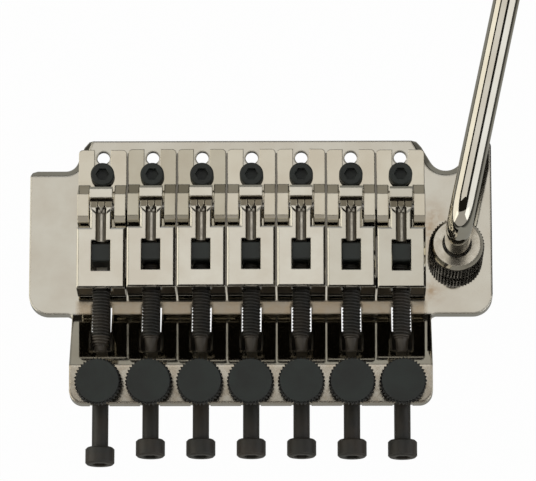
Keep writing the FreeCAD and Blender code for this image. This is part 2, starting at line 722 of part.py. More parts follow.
# Saddle levers: nose, string channel and insert pocket, rocking on the pivot pin
def make_saddle_lever(n):
    body = new_body(f"saddle_lever_{n}")
    drop = string_drop(n)
    top = f"(lever_height - {drop})"
    nose = f"(nose_height - {drop})"
    valley = f"(valley_height - {drop})"
    brow = f"({top} - lever_edge_drop)"
    facet = f"({top} - facet_depth)"
    block = [
        ("-lever_front", "lever_underside"),
        ("-lever_front", brow),
        ("-lever_rear", brow),
        ("-lever_rear", "lever_underside"),
    ]
    extrude(body, "Pad", outline(body, "block", "YZ_Plane", block), SADDLE_WIDTH, symmetric=True)
    rails = [
        ("-groove_end", "tongue_underside"),
        ("-groove_end", facet),
        ("-facet_end", f"{facet} + (facet_end - groove_end) * tan(facet_lean)"),
        ("-facet_end", brow),
        ("-pocket_front", brow),
        ("-pocket_front", "tongue_underside"),
    ]
    extrude(body, "Pad", outline(body, "rails", "YZ_Plane", rails), "rail_width", symmetric=True)

    # Top of the lever, with one bevel all round it
    middle = [("0", "-facet_end - rail_slant")]
    right = [
        ("rail_width / 2", "-facet_end"),
        ("rail_width / 2", "-lever_front"),
        (f"{SADDLE_WIDTH} / 2", "-lever_front"),
        (f"{SADDLE_WIDTH} / 2", "-lever_rear"),
    ]
    left = [(f"-({x})", y) for x, y in reversed(right)]
    sketch = outline(body, "crown", "XY_Plane", middle + right + left, brow)
    crown = extrude(body, "Pad", sketch, "lever_edge_drop")
    tie(crown, "TaperAngle", "-atan(lever_edge / lever_edge_drop)")
    front = [
        ("-nose_front", "tongue_underside"),
        ("-nose_front", f"{nose} - nose_slope"),
        ("-nose_front - nose_slope", nose),
        ("-nose_top_end", nose),
        ("-nose_top_end", valley),
        ("-groove_end", valley),
        ("-groove_end", "tongue_underside"),
    ]
    extrude(body, "Pad", outline(body, "nose", "YZ_Plane", front), "nose_width", symmetric=True)

    # String channel with a round floor that runs back into the pocket
    floor = f"({top} - channel_depth + channel_width / 2)"
    walls = [
        ("-channel_width / 2", floor),
        ("channel_width / 2", floor),
        ("channel_width / 2", f"{top} + cut_overrun"),
        ("-channel_width / 2", f"{top} + cut_overrun"),
    ]
    run = "pocket_front - facet_end"
    extrude(body, "Pocket", outline(body, "walls", "XZ_Plane", walls, "pocket_front"), run, backwards=False)
    sketch = ring(body, "floor", "XZ_Plane", "0", floor, "channel_width / 2", "pocket_front")
    extrude(body, "Pocket", sketch, run)

    # Gate in front of the channel, with a pointed wedge in the middle
    gate = [
        ("-groove_end", f"{top} - gate_depth"),
        ("-facet_end", f"{top} - gate_depth"),
        ("-facet_end", f"{top} + cut_overrun"),
        ("-groove_end", f"{top} + cut_overrun"),
    ]
    extrude(body, "Pocket", outline(body, "gate", "YZ_Plane", gate), "gate_width", symmetric=True)
    point = "(facet_end + wedge_tip)"
    wedge = [
        ("-groove_end", f"{top} - channel_depth"),
        ("-groove_end", facet),
        (f"-{point}", f"{facet} + ({point} - groove_end) * tan(facet_lean)"),
        (f"-{point}", f"{top} - channel_depth"),
    ]
    extrude(body, "Pad", outline(body, "wedge", "YZ_Plane", wedge), "wedge_width", symmetric=True)
    for name, hand in (("trim_left", "-1"), ("trim_right", "1")):
        trim = [
            (f"{hand} * wedge_width / 2", "-groove_end - wedge_straight"),
            (f"{hand} * wedge_width / 2", f"-{point}"),
            ("0", f"-{point}"),
        ]
        sketch = outline(body, name, "XY_Plane", trim, f"{top} - gate_depth")
        extrude(body, "Pocket", sketch, "gate_depth", backwards=True)
    pocket = [
        ("-pocket_front", "pocket_floor"),
        ("-pocket_rear", "pocket_floor"),
        ("-pocket_rear", f"{top} + cut_overrun"),
        ("-pocket_front", f"{top} + cut_overrun"),
    ]
    extrude(body, "Pocket", outline(body, "pocket", "YZ_Plane", pocket), "pocket_width", symmetric=True)
    hole = "lock_diameter / 2 + thread_clearance"
    sketch = ring(body, "lock", "XZ_Plane", "0", "lock_height", hole, "lever_rear + cut_overrun")
    extrude(body, "Pocket", sketch, "lever_rear - pocket_rear + 2 * cut_overrun - insert_length")
    hole = "pivot_diameter / 2 + thread_clearance"
    extrude(body, "Pocket", ring(body, "pin", "YZ_Plane", "-pivot_run", "pivot_height", hole))
    place(body, across(n), f"-intonation_run - setback_of_{n}", PLATE_TOP)
    nodes.append(body)


# Pivot pins through the ears
def make_pivot_pin(n):
    points = [
        ("0", f"-{SADDLE_WIDTH} / 2 + slide_clearance"),
        ("pivot_diameter / 2", f"-{SADDLE_WIDTH} / 2 + slide_clearance"),
        ("pivot_diameter / 2", f"{SADDLE_WIDTH} / 2 - slide_clearance"),
        ("0", f"{SADDLE_WIDTH} / 2 - slide_clearance"),
    ]
    pin = turned(f"pivot_pin_{n}", points)
    z = f"{PLATE_TOP} + pivot_height"
    place(pin, across(n), f"-intonation_run - setback_of_{n} - pivot_run", z, FreeCAD.Vector(0, 1, 0), "90")
    nodes.append(pin)


# Insert blocks that press the string end against the front of the pocket
def make_insert_block(n):
    body = new_body(f"insert_block_{n}")
    top = f"(lever_height - {string_drop(n)} - insert_sink)"
    low = "pocket_floor + slide_clearance"
    front = "(pocket_front + insert_gap)"
    side = [
        (f"-{front} - insert_edge", top),
        (f"-{front}", f"{top} - insert_edge"),
        (f"-{front}", low),
        (f"-{front} - insert_length", low),
        (f"-{front} - insert_length", f"{top} - insert_edge"),
        (f"-{front} - insert_length + insert_edge", top),
    ]
    wide = "pocket_width - 2 * slide_clearance"
    extrude(body, "Pad", outline(body, "side", "YZ_Plane", side), wide, symmetric=True)
    place(body, across(n), f"-intonation_run - setback_of_{n}", PLATE_TOP)
    nodes.append(body)


# Lock screws: thread, waisted neck, plain shank for the fine tuner, socket head at the back
def make_lock_screw(n):
    tip = "(pocket_front + insert_gap + insert_length + press_clearance)"
    end = "(lock_head_start + lock_head_length)"
    points = [
        ("0", tip),
        ("lock_point / 2", tip),
        ("lock_diameter / 2", f"{tip} + lock_point_length"),
        ("lock_diameter / 2", "lock_thread_end"),
        ("lock_relief / 2", "lock_thread_end"),
        ("lock_relief / 2", "lock_relief_end"),
        ("lock_neck_front / 2", "lock_relief_end"),
        ("lock_neck_rear / 2", "lock_neck_end"),
        ("lock_shank / 2", "lock_shank_start"),
        ("lock_shank / 2", "lock_head_start"),
        ("lock_head / 2 - lock_head_edge", "lock_head_start"),
        ("lock_head / 2", "lock_head_start + lock_head_edge"),
        ("lock_head / 2", f"{end} - lock_head_edge"),
        ("lock_head / 2 - lock_head_edge", end),
        ("0", end),
    ]
    screw = turned(f"lock_screw_{n}", points)
    extrude(screw, "Pocket", hexagon(screw, "key", "lock_key", end), "lock_key_depth")
    y = f"-intonation_run - setback_of_{n} - backoff_of_{n}"
    place(screw, across(n), y, f"{PLATE_TOP} + lock_height", ABOUT_X, "90")
    nodes.append(screw)


# Fine tuners: thumbscrews whose round tips press on the lock screw shanks
def make_fine_tuner(n):
    bearing = f"({PLATE_TOP} + lock_height + lock_shank / 2 + tuner_tip_clearance)"
    reach = f"(({TUNER_Z} - {bearing}) / cos(bar_tilt))"
    head = "tuner_head / 2"
    high = "tuner_lift + tuner_head_height"
    points = [
        ("0", f"-{reach}"),
        ("tuner_diameter / 2", f"-{reach}"),
        ("tuner_diameter / 2", "tuner_lift"),
        (f"{head} - tuner_head_edge", "tuner_lift"),
        (head, "tuner_lift + tuner_head_edge"),
        (head, f"{high} - tuner_head_edge"),
        (f"{head} - tuner_head_edge", high),
        ("0", high),
    ]
    body = turned(f"fine_tuner_{n}", points)
    bottom = value(f"-{reach} + pick_tolerance")
    soften(body, "Fillet", "tuner_tip_radius", lambda edge: spans(edge, "Z")[1] < bottom and edge.Closed)
    place(body, across(n), f"-{TUNER_RUN}", TUNER_Z, ABOUT_X, "bar_tilt")
    nodes.append(body)


for string in STRINGS:
    make_saddle_foot(string)
    make_pivot_pin(string)
    make_saddle_lever(string)
    make_insert_block(string)
    make_lock_screw(string)
    make_fine_tuner(string)


# Spring comb: one strip under the plate whose fingers lift the lock screws against the tuners
def make_spring_comb():
    body = new_body("spring_comb")
    low = f"({PLATE_BOTTOM} - comb_thickness)"
    strip = [
        (f"-{COMB_START}", PLATE_BOTTOM),
        (f"-{COMB_END}", PLATE_BOTTOM),
        (f"-{COMB_END}", low),
        (f"-{COMB_START}", low),
    ]
    extrude(body, "Pad", outline(body, "strip", "YZ_Plane", strip), f"2 * {COMB_HALF}", symmetric=True)
    touch = f"({PLATE_TOP} + lock_height - lock_shank / 2 - comb_touch_clearance)"
    slope = f"(({touch} - {PLATE_BOTTOM}) / ({FINGER_TOUCH} - {FINGER_BEND}))"
    lift = f"({PLATE_BOTTOM} + ({PADDLE_START} - {FINGER_BEND}) * {slope})"
    finger = [
        (f"-{COMB_END}", PLATE_BOTTOM),
        (f"-{FINGER_BEND}", PLATE_BOTTOM),
        (f"-{PADDLE_START}", lift),
        (f"-{PADDLE_START}", f"{lift} - comb_thickness"),
        (f"-{FINGER_BEND}", low),
        (f"-{COMB_END}", low),
    ]
    sketch = outline(body, "finger", "YZ_Plane", finger, across(STRINGS[0]))
    first = extrude(body, "Pad", sketch, "finger_width", symmetric=True)
    repeat(body, first, sketch, f"{STRING_GAPS} * string_pitch", len(STRINGS), "N_Axis")
    paddle = [
        (f"-{PADDLE_START}", lift),
        (f"-{FINGER_TOUCH}", touch),
        (f"-{FINGER_TOUCH}", f"{touch} - comb_thickness"),
        (f"-{PADDLE_START}", f"{lift} - comb_thickness"),
    ]
    sketch = outline(body, "paddle", "YZ_Plane", paddle, across(STRINGS[0]))
    first = extrude(body, "Pad", sketch, "paddle_width", symmetric=True)
    repeat(body, first, sketch, f"{STRING_GAPS} * string_pitch", len(STRINGS), "N_Axis")
    hole = "comb_screw / 2 + slide_clearance"
    sketch = ring(body, "hole", "XY_Plane", f"-{COMB_SPREAD}", f"-{COMB_MIDDLE}", hole)
    first = extrude(body, "Pocket", sketch)
    repeat(body, first, sketch, f"2 * {COMB_SPREAD}", 4)
    nodes.append(body)
    screws = []
    for k, side in enumerate(("-3", "-1", "1", "3"), start=1):
        points = [
            ("0", "-comb_screw_head_height"),
            ("comb_screw_head / 2", "-comb_screw_head_height"),
            ("comb_screw_head / 2", "0"),
            ("comb_screw / 2", "0"),
            ("comb_screw / 2", "comb_thickness + comb_screw_reach"),
            ("0", "comb_thickness + comb_screw_reach"),
        ]
        screw = turned(f"spring_screw_{k}", points)
        key = hexagon(screw, "key", "comb_key", "-comb_screw_head_height")
        extrude(screw, "Pocket", key, "comb_key_depth", backwards=True)
        place(screw, f"{side} * {COMB_SPREAD} / 3", f"-{COMB_MIDDLE}", low)
        screws.append(screw)
    nodes.append(group("spring_screws", screws))


make_spring_comb()


# Arm socket, clamped through the right wing by a washer and a nut
def make_arm_socket():
    top = "socket_rise"
    tube = [
        ("socket_bore / 2", "-plate_thickness - socket_depth"),
        ("socket_diameter / 2", "-plate_thickness - socket_depth"),
        ("socket_diameter / 2", "0"),
        ("socket_flange / 2", "0"),
        ("socket_flange / 2", "socket_flange_height"),
        ("socket_diameter / 2", "socket_flange_height"),
        ("socket_diameter / 2", top),
        ("socket_bore / 2", top),
    ]
    inner = "socket_diameter / 2 + press_clearance"
    washer = [
        (inner, "-plate_thickness - washer_thickness"),
        ("washer_diameter / 2", "-plate_thickness - washer_thickness"),
        ("washer_diameter / 2", "-plate_thickness"),
        (inner, "-plate_thickness"),
    ]
    sleeve_low = "-plate_thickness - socket_depth"
    inside = "arm_diameter / 2 + sleeve_wall_clearance"
    sleeve = [
        (inside, sleeve_low),
        ("socket_bore / 2 - press_clearance", sleeve_low),
        ("socket_bore / 2 - press_clearance", top),
        (inside, top),
    ]
    ring_top = f"{top} + friction_washer_thickness"
    friction = [
        (inside, top),
        ("friction_washer_diameter / 2", top),
        ("friction_washer_diameter / 2", ring_top),
        (inside, ring_top),
    ]
    roof = f"({ring_top} + seat_clearance)"
    collar = [
        ("socket_diameter / 2 + thread_clearance", "socket_flange_height + collar_foot_gap"),
        ("collar_diameter / 2", "socket_flange_height + collar_foot_gap"),
        ("collar_diameter / 2", "collar_top - collar_slope"),
        ("collar_diameter / 2 - collar_edge", "collar_top"),
        ("collar_mouth / 2", "collar_top"),
        ("collar_mouth / 2", roof),
        ("socket_diameter / 2 + thread_clearance", roof),
    ]
    shapes = (
        ("arm_socket", tube),
        ("socket_washer", washer),
        ("arm_sleeve", sleeve),
        ("friction_washer", friction),
        ("arm_collar", collar),
    )
    for label, points in shapes:
        piece = turned(label, points)
        place(piece, ARM_ACROSS, "-arm_run", PLATE_TOP)
        nodes.append(piece)
    nut = new_body("socket_nut")
    floor = f"{PLATE_BOTTOM} - washer_thickness - nut_height"
    extrude(nut, "Pad", hexagon(nut, "hexagon", "nut_flats", floor), "nut_height")
    extrude(nut, "Pocket", ring(nut, "bore", "XY_Plane", "0", "0", "socket_diameter / 2 + press_clearance"))
    place(nut, ARM_ACROSS, "-arm_run", "0", ABOUT_Z, "30")
    nodes.append(nut)


make_arm_socket()


# Tremolo arm: a round bar that stands in the socket, bends forward and levels out
def make_tremolo_arm():
    body = new_body("tremolo_arm")
    climb_y = "arm_bend * (1 - sin(arm_climb))"
    climb_z = "arm_rise + arm_bend * cos(arm_climb)"
    end_y = f"{climb_y} + arm_reach * cos(arm_climb)"
    end_z = f"{climb_z} + arm_reach * sin(arm_climb)"
    level_y = f"{end_y} + arm_second_bend * (sin(arm_climb) - sin(arm_level))"
    level_z = f"{end_z} + arm_second_bend * (cos(arm_level) - cos(arm_climb))"
    tail_y = f"{level_y} + arm_tail * cos(arm_level)"
    tail_z = f"{level_z} + arm_tail * sin(arm_level)"
    stops = [
        ("0", f"-{ARM_DEPTH}"),
        ("0", "arm_rise"),
        (climb_y, climb_z),
        (end_y, end_z),
        (level_y, level_z),
        (tail_y, tail_z),
    ]
    path = new_sketch(body, "path", "YZ_Plane")
    places = [FreeCAD.Vector(value(y), value(z), 0) for y, z in stops]
    half = math.radians(value("(90 + arm_climb) / 2"))
    low_mid = FreeCAD.Vector(value("arm_bend"), value("arm_rise"), 0)
    low_mid += FreeCAD.Vector(-math.sin(half), math.cos(half), 0) * value("arm_bend")
    turn = math.radians(value("(arm_climb + arm_level) / 2"))
    centre_y = value(f"{end_y} + arm_second_bend * sin(arm_climb)")
    centre_z = value(f"{end_z} - arm_second_bend * cos(arm_climb)")
    high_mid = FreeCAD.Vector(centre_y, centre_z, 0)
    high_mid += FreeCAD.Vector(-math.sin(turn), math.cos(turn), 0) * value("arm_second_bend")
    pieces = [
        Part.LineSegment(places[0], places[1]),
        Part.Arc(places[1], low_mid, places[2]),
        Part.LineSegment(places[2], places[3]),
        Part.Arc(places[3], high_mid, places[4]),
        Part.LineSegment(places[4], places[5]),
    ]
    for piece in pieces:
        path.addGeometry(piece)
    for k, start, end in ((0, 0, 1), (2, 2, 3), (4, 4, 5)):
        for corner, stop in ((1, start), (2, end)):
            spot = places[stop]
            along, up = stops[stop]
            hold(path, f"y_{stop}", Sketcher.Constraint("DistanceX", -1, 1, k, corner, spot.x), along)
            hold(path, f"z_{stop}", Sketcher.Constraint("DistanceY", -1, 1, k, corner, spot.y), up)
    for arc, before, after, radius in ((1, 0, 2, "arm_bend"), (3, 2, 4, "arm_second_bend")):
        ends = sorted((1, 2), key=lambda end: (path.getPoint(arc, end) - path.getPoint(before, 2)).Length)
        path.addConstraint(Sketcher.Constraint("Coincident", arc, ends[0], before, 2))
        path.addConstraint(Sketcher.Constraint("Coincident", arc, ends[1], after, 1))
        hold(path, f"radius_{arc}", Sketcher.Constraint("Radius", arc, value(radius)), radius)
    circle = ring(body, "section", "XY_Plane", "0", "0", "arm_diameter / 2", f"-{ARM_DEPTH}")
    doc.recompute()
    pipe = body.newObject("PartDesign::AdditivePipe", "tremolo_arm_pipe")
    pipe.Profile = circle
    pipe.Spine = path
    body.Tip = pipe
    tail_plane = value(tail_y) - value("arm_diameter")

    def tip_edge(edge):
        return edge.Closed and edge.CenterOfMass.y > tail_plane and edge.Length < value("arm_diameter * 4")

    soften(body, "Fillet", "arm_tip_round", tip_edge)
    low = f"-{ARM_DEPTH} + arm_groove_rise"
    deep = "arm_diameter / 2 - arm_groove_depth"
    groove = [
        (deep, low),
        ("arm_diameter / 2 + cut_overrun", low),
        ("arm_diameter / 2 + cut_overrun", f"{low} + arm_groove"),
        (deep, f"{low} + arm_groove"),
    ]
    sketch = outline(body, "groove", "XZ_Plane", groove)
    cut = body.newObject("PartDesign::Groove", "tremolo_arm_groove")
    cut.Profile = sketch
    cut.ReferenceAxis = (sketch, ["V_Axis"])
    cut.Angle = 360
    body.Tip = cut
    place(body, ARM_ACROSS, "-arm_run", PLATE_TOP, ABOUT_Z, "-arm_swing")
    nodes.append(body)

    clip_low = f"{low} + slide_clearance"
    clip_high = f"{low} + arm_groove - slide_clearance"
    points = [
        (f"{deep} + press_clearance", clip_low),
        ("clip_diameter / 2", clip_low),
        ("clip_diameter / 2", clip_high),
        (f"{deep} + press_clearance", clip_high),
    ]
    clip = turned("arm_clip", points)
    place(clip, ARM_ACROSS, "-arm_run", PLATE_TOP)
    nodes.append(clip)


make_tremolo_arm()

# Check every object, then write one file for each piece
doc.recompute()
for item in doc.Objects:
    if "Invalid" in item.State or "Error" in item.State:
        raise RuntimeError(f"{item.Name} did not build: {item.State}")
for node in nodes:
    if node.Shape.isNull() or not node.Shape.isValid():
        raise RuntimeError(f"{node.Label} has no valid shape")
os.makedirs("parts", exist_ok=True)
for node in nodes:
    node.Shape.exportStep(f"parts/{node.Label}.step")
    box = node.Shape.BoundBox
    print(f"{node.Label}: {len(node.Shape.Solids)} solid(s), {node.Shape.Volume:.1f} mm3, "
          f"x {box.XMin:.2f}..{box.XMax:.2f}, y {box.YMin:.2f}..{box.YMax:.2f}, "
          f"z {box.ZMin:.2f}..{box.ZMax:.2f}")
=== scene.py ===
# %% [markdown]
# # A guitar tremolo bridge, dressed for the camera
# The solids come from the CAD model and stay where they are. This lesson gives them their polished
# and blackened metal, cuts the knurls and screw threads that the solids leave plain, splits a spring
# comb into a strip and leaves, and builds the light that polished metal needs, because a mirror shows
# only what stands around it.

# %% Load the solids
import json
import math

import bmesh
import bpy
from mathutils import Matrix, Vector


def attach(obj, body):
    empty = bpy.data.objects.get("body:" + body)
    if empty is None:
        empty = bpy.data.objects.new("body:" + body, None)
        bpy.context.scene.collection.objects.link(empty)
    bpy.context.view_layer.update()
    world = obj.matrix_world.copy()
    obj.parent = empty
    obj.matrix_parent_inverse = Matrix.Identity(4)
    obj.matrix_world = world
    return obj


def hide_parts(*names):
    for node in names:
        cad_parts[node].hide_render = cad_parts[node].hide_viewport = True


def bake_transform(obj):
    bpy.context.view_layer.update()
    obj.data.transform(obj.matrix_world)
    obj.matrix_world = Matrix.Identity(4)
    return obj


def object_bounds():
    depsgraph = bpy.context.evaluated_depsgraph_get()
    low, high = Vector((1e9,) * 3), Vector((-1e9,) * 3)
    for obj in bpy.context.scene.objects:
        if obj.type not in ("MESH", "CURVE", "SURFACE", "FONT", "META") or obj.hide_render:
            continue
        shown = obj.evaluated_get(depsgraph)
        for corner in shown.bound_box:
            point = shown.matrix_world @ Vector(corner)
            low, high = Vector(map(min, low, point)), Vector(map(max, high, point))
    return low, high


MM = 0.001
STRINGS = range(1, 8)
MIDDLE_STRING = 4
PITCH = 10.7 * MM

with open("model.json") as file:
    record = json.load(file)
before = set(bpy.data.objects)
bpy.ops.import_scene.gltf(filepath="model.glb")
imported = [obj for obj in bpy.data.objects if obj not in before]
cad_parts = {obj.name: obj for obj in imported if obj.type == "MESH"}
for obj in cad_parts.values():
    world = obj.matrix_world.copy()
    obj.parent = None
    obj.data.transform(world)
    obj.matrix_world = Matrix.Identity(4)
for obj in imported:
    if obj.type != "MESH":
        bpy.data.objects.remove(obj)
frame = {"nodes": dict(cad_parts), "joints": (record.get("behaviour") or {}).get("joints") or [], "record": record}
nodes = frame["nodes"]
cad_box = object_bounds()
print(len(nodes), "solids in a box of", [round((b - a) / MM, 1) for a, b in zip(*cad_box)], "mm")

# %% [markdown]
# ## Writing node trees as sums
# Materials and Geometry Nodes are both trees of small boxes. Clicking them together is slow to read
# back, so two helpers turn a tree into lines of Python: `Wire` is one output socket that can be added,
# multiplied and compared, and `Bench` makes any other box from its type, its settings and its inputs.

# %% Wires and benches
class Wire:
    """An output socket: arithmetic on it adds Math nodes to its tree, and a comparison gives 1 or 0."""

    def __init__(self, bench, socket):
        self.bench = bench
        self.socket = socket

    def maths(self, operation, other=0.0):
        return self.bench.node("ShaderNodeMath", {"operation": operation}, {0: self, 1: other})

    def __add__(self, other):
        return self.maths("ADD", other)

    def __sub__(self, other):
        return self.maths("SUBTRACT", other)

    def __mul__(self, other):
        return self.maths("MULTIPLY", other)

    def __lt__(self, other):
        return self.maths("LESS_THAN", other)

    def __gt__(self, other):
        return self.maths("GREATER_THAN", other)


class Bench:
    """A node tree with one method that makes every kind of node."""

    def __init__(self, tree):
        self.tree = tree

    def node(self, kind, settings=None, inputs=None, output=0):
        made = self.tree.nodes.new(kind)
        for name, setting in (settings or {}).items():
            setattr(made, name, setting)
        for key, given in (inputs or {}).items():
            if isinstance(given, Wire):
                self.tree.links.new(given.socket, made.inputs[key])
            else:
                made.inputs[key].default_value = given
        return Wire(self, made.outputs[output])


print("Wire and Bench are ready")

# %% [markdown]
# ## Finishes
# The plate, saddles, collar and arm of the real bridge are polished dark nickel: nearly a mirror, warm
# grey, with faint clouds where the plating and the handling differ. A flat grey would look like paint,
# so slow noise shifts the tint, fine noise shifts the gloss, and the Bevel node softens every sharp edge
# in the shading alone, so that edges catch a line of light. First come small functions, each of them one
# or two boxes of the tree.

# %% Helpers for finishes
EDGE_ROUND = 0.18 * MM
BEVEL_SAMPLES = 6
RELIEF_DEPTH = 0.02 * MM


def new_finish(name, **fixed):
    """A material with constant values on its shader's own sockets."""
    material = bpy.data.materials.new(name)
    material.use_nodes = True
    shader = material.node_tree.nodes["Principled BSDF"]
    for socket, constant in fixed.items():
        shader.inputs[socket.replace("_", " ")].default_value = constant
    return material, Bench(material.node_tree), shader


def feed(bench, shader, **wires):
    """Join wires to the shader's sockets."""
    for socket, wire in wires.items():
        bench.tree.links.new(wire.socket, shader.inputs[socket.replace("_", " ")])


def place(bench):
    """The place on the part, in its own coordinates."""
    return bench.node("ShaderNodeTexCoord", output="Object")


def stretched(bench, where, scale):
    """The same place with its axes stretched, for streaks."""
    return bench.node("ShaderNodeMapping", inputs={"Vector": where, "Scale": scale})


def noise(bench, where, scale, detail=3.0, roughness=0.55):
    """Cloudy noise; a larger scale makes smaller clouds."""
    look = {"Vector": where, "Scale": scale, "Detail": detail, "Roughness": roughness}
    return bench.node("ShaderNodeTexNoise", inputs=look)


def ramp(bench, level, *stops):
    """A grey ramp through two stops, each a place and the grey there."""
    wire = bench.node("ShaderNodeValToRGB", inputs={"Fac": level})
    for element, (at, grey) in zip(wire.socket.node.color_ramp.elements, stops):
        element.position = at
        element.color = (grey, grey, grey, 1.0)
    return wire


def tint(bench, share, first, second):
    """Mix two colours, or wires of colours, by a share from 0 to 1."""
    return bench.node("ShaderNodeMix", {"data_type": "RGBA"}, {0: share, 6: first, 7: second}, 2)


def rounded(bench, radius, relief, strength):
    """Normals with softened edges and a fine relief on top."""
    normal = bench.node("ShaderNodeBevel", {"samples": BEVEL_SAMPLES}, {"Radius": radius})
    look = {"Height": relief, "Strength": strength, "Distance": RELIEF_DEPTH, "Normal": normal}
    return bench.node("ShaderNodeBump", inputs=look)


print("edges look rounded by", EDGE_ROUND / MM, "mm")

# %% [markdown]
# ### Masks: painted shade, wear and tarnish
# The gaps between the saddles, the spare screw holes and the collar's knurl are painted nearly black as
# shade, and the plating is dull or tarnished in a few places. Such marks could be painted on an image. A
# mask needs none: it is a wire that is 1 inside a region and 0 outside, found by comparing the place on
# the part with a size. The seven saddles stand at an even pitch, so a sawtooth that starts again midway
# between two strings lets one mask serve all of them.

# %% Regions and fades
def parts_of(bench, vector):
    """The X, Y and Z wires of a vector."""
    split = bench.node("ShaderNodeSeparateXYZ", inputs={"Vector": vector}).socket.node
    return [Wire(bench, socket) for socket in split.outputs]


def within(wire, low, high):
    """1 between two limits."""
    return (wire > low) * (wire < high)


def fade(level, start, end, first=0.0, last=1.0):
    """A wire that runs from first to last while a level runs from start to end."""
    return level.bench.node("ShaderNodeMapRange", inputs={0: level, 1: start, 2: end, 3: first, 4: last})


def from_string(x):
    """How far a place lies from the nearest string, along X."""
    step = x * (1 / PITCH) + 0.5
    return (step - step.maths("FLOOR") - 0.5) * PITCH


def along_row(x, inner, outer):
    """1 in the middle of the row of saddles, fading to 0 between two distances from there."""
    return fade(x * x, inner**2, outer**2, 1.0, 0.0)


print("masks repeat every", PITCH / MM, "mm")

# %% [markdown]
# Shade is painted dark inside the plate's spare screw holes and in the thin lines that show between the feet.
# Its rear bar is duller and browner than its wings, and the strip between the saddles and the ramp is
# tarnished. Each of these is a plain box or circle on the plate, so a few comparisons find it.

# %% Masks for the plate
SPARE_HOLE_Y = 2.6 * MM
SPARE_HOLE_REACH = 2.1 * MM
UNDER_PLATE_FACE = 1.46 * MM
LINE_FROM_STRING = 5.17 * MM
LINES_HALF = 37.0 * MM
LINE_BACK, LINE_FRONT = -26.0 * MM, 3.7 * MM
# How strong the painted shade is in the lines between the feet.
LINE_SHADE = 0.75
BAR_FRONT = -45.6 * MM
STRIP_BACK, STRIP_FRONT, STRIP_FADE = -32.2 * MM, -29.4 * MM, -28.9 * MM
STRIP_HALF, STRIP_HALF_FADE = 36.8 * MM, 38.0 * MM
SLOPE_HALF, SLOPE_HALF_FADE = 33.0 * MM, 39.0 * MM
SLOPE_FALL = -0.28 * MM


def plate_shade(bench, where):
    """Painted shade: up to 1 on the walls of the spare screw holes and in the lines between the saddles."""
    x, y, z = parts_of(bench, where)
    side = from_string(x)
    ahead = y - SPARE_HOLE_Y
    hole = (side * side + ahead * ahead < SPARE_HOLE_REACH**2) * (z < UNDER_PLATE_FACE)
    line = (side * side > LINE_FROM_STRING**2) * (x * x < LINES_HALF**2)
    line = line * within(y, LINE_BACK, LINE_FRONT)
    return hole.maths("MAXIMUM", line * LINE_SHADE)


def tuner_bar(bench, where):
    """1 on the bar behind the ramp."""
    return parts_of(bench, where)[1] < BAR_FRONT


def saddle_strip(bench, where):
    """Up to 1 on the strip of the plate behind the saddles."""
    x, y = parts_of(bench, where)[:2]
    row = along_row(x, STRIP_HALF, STRIP_HALF_FADE)
    return row * fade(y, STRIP_FRONT, STRIP_FADE, 1.0, 0.0) * (y > STRIP_BACK)


def strip_slope(bench, where, normal):
    """A normal that leans back on the strip behind the saddles, as if the plate sloped gently there."""
    x, y = parts_of(bench, where)[:2]
    row = along_row(x, SLOPE_HALF, SLOPE_HALF_FADE)
    fall = row * fade(y, STRIP_BACK, STRIP_FRONT, SLOPE_FALL, 0.0) * (y > STRIP_BACK)
    look = {"Height": fall, "Strength": 1.0, "Distance": 1.0, "Normal": normal}
    return bench.node("ShaderNodeBump", inputs=look)


print("the strip behind the saddles is", round((STRIP_FRONT - STRIP_BACK) / MM, 1), "mm deep")

# %% [markdown]
# A lever's painted shade follows the way its faces look as much as place: its back, the wall behind its
# nose and its steep channel walls, which lie in shade or mirror the dark room, are painted dark, while flat
# tops stay clean. So these masks also read the Normal of the surface. The strings lie on a gentle curve
# across the bridge and every lever stands at its own height, so heights are measured from that curve.

# %% Masks for the saddles
SADDLE_WALL = 5.13 * MM
SADDLES_HALF = 36.9 * MM
STRING_CURVE = 0.7
CHANNEL_HALF = 1.14 * MM
CHANNEL_FRONT = -10.5 * MM
CHANNEL_TOP = 11.42 * MM
NOSE_BACK, NOSE_FOOT = -9.3 * MM, 9.6 * MM
LEVER_BACK = -20.0 * MM
FACING_BACK = -0.7
STEEP_GAIN, STEEP_START = 2.0, 1.1
GATE_BACK, GATE_FRONT = -10.8 * MM, -8.6 * MM
GATE_LOW, GATE_HIGH = 9.0 * MM, 10.05 * MM
# Strengths of the painted shade behind the nose and on the lever's back.
NOSE_SHADE, BACK_SHADE = 0.15, 0.85


def saddle_gap_shade(bench, where):
    """Painted shade: 1 on the saddle walls that face another saddle."""
    x = parts_of(bench, where)[0]
    side = from_string(x)
    return (side * side > SADDLE_WALL**2) * (x * x < SADDLES_HALF**2)


def level_with_string(x, z):
    """The height of a place as if the strings lay flat instead of on their gentle curve."""
    return z + x * x * (1 / (2 * STRING_CURVE))


def channel_floors(bench, where):
    """1 in the levers' string channels."""
    x, y, z = parts_of(bench, where)
    side = from_string(x)
    channel = (side * side < CHANNEL_HALF**2) * (y < CHANNEL_FRONT)
    return channel * (level_with_string(x, z) < CHANNEL_TOP)


def lever_shade(bench, where):
    """Painted shade: up to 1 on a lever's sides and back, on its channel walls, behind its nose and in the nose's
    gate.
    """
    x, y, z = parts_of(bench, where)
    level = level_with_string(x, z)
    across, along = parts_of(bench, bench.node("ShaderNodeNewGeometry", output="Normal"))[:2]
    steep = (across.maths("ABSOLUTE") * STEEP_GAIN - STEEP_START).maths("MAXIMUM", 0.0)
    rearward = along < FACING_BACK
    nose = (y > NOSE_BACK) * rearward * (level > NOSE_FOOT) * NOSE_SHADE
    back = (y < LEVER_BACK) * rearward * BACK_SHADE
    gate = within(y, GATE_BACK, GATE_FRONT) * within(level, GATE_LOW, GATE_HIGH)
    painted_shade = saddle_gap_shade(bench, where)
    for more in (channel_floors(bench, where) * steep, nose, back, gate):
        painted_shade = painted_shade.maths("MAXIMUM", more)
    return painted_shade


print("the strings lie on a curve of", STRING_CURVE, "m radius")
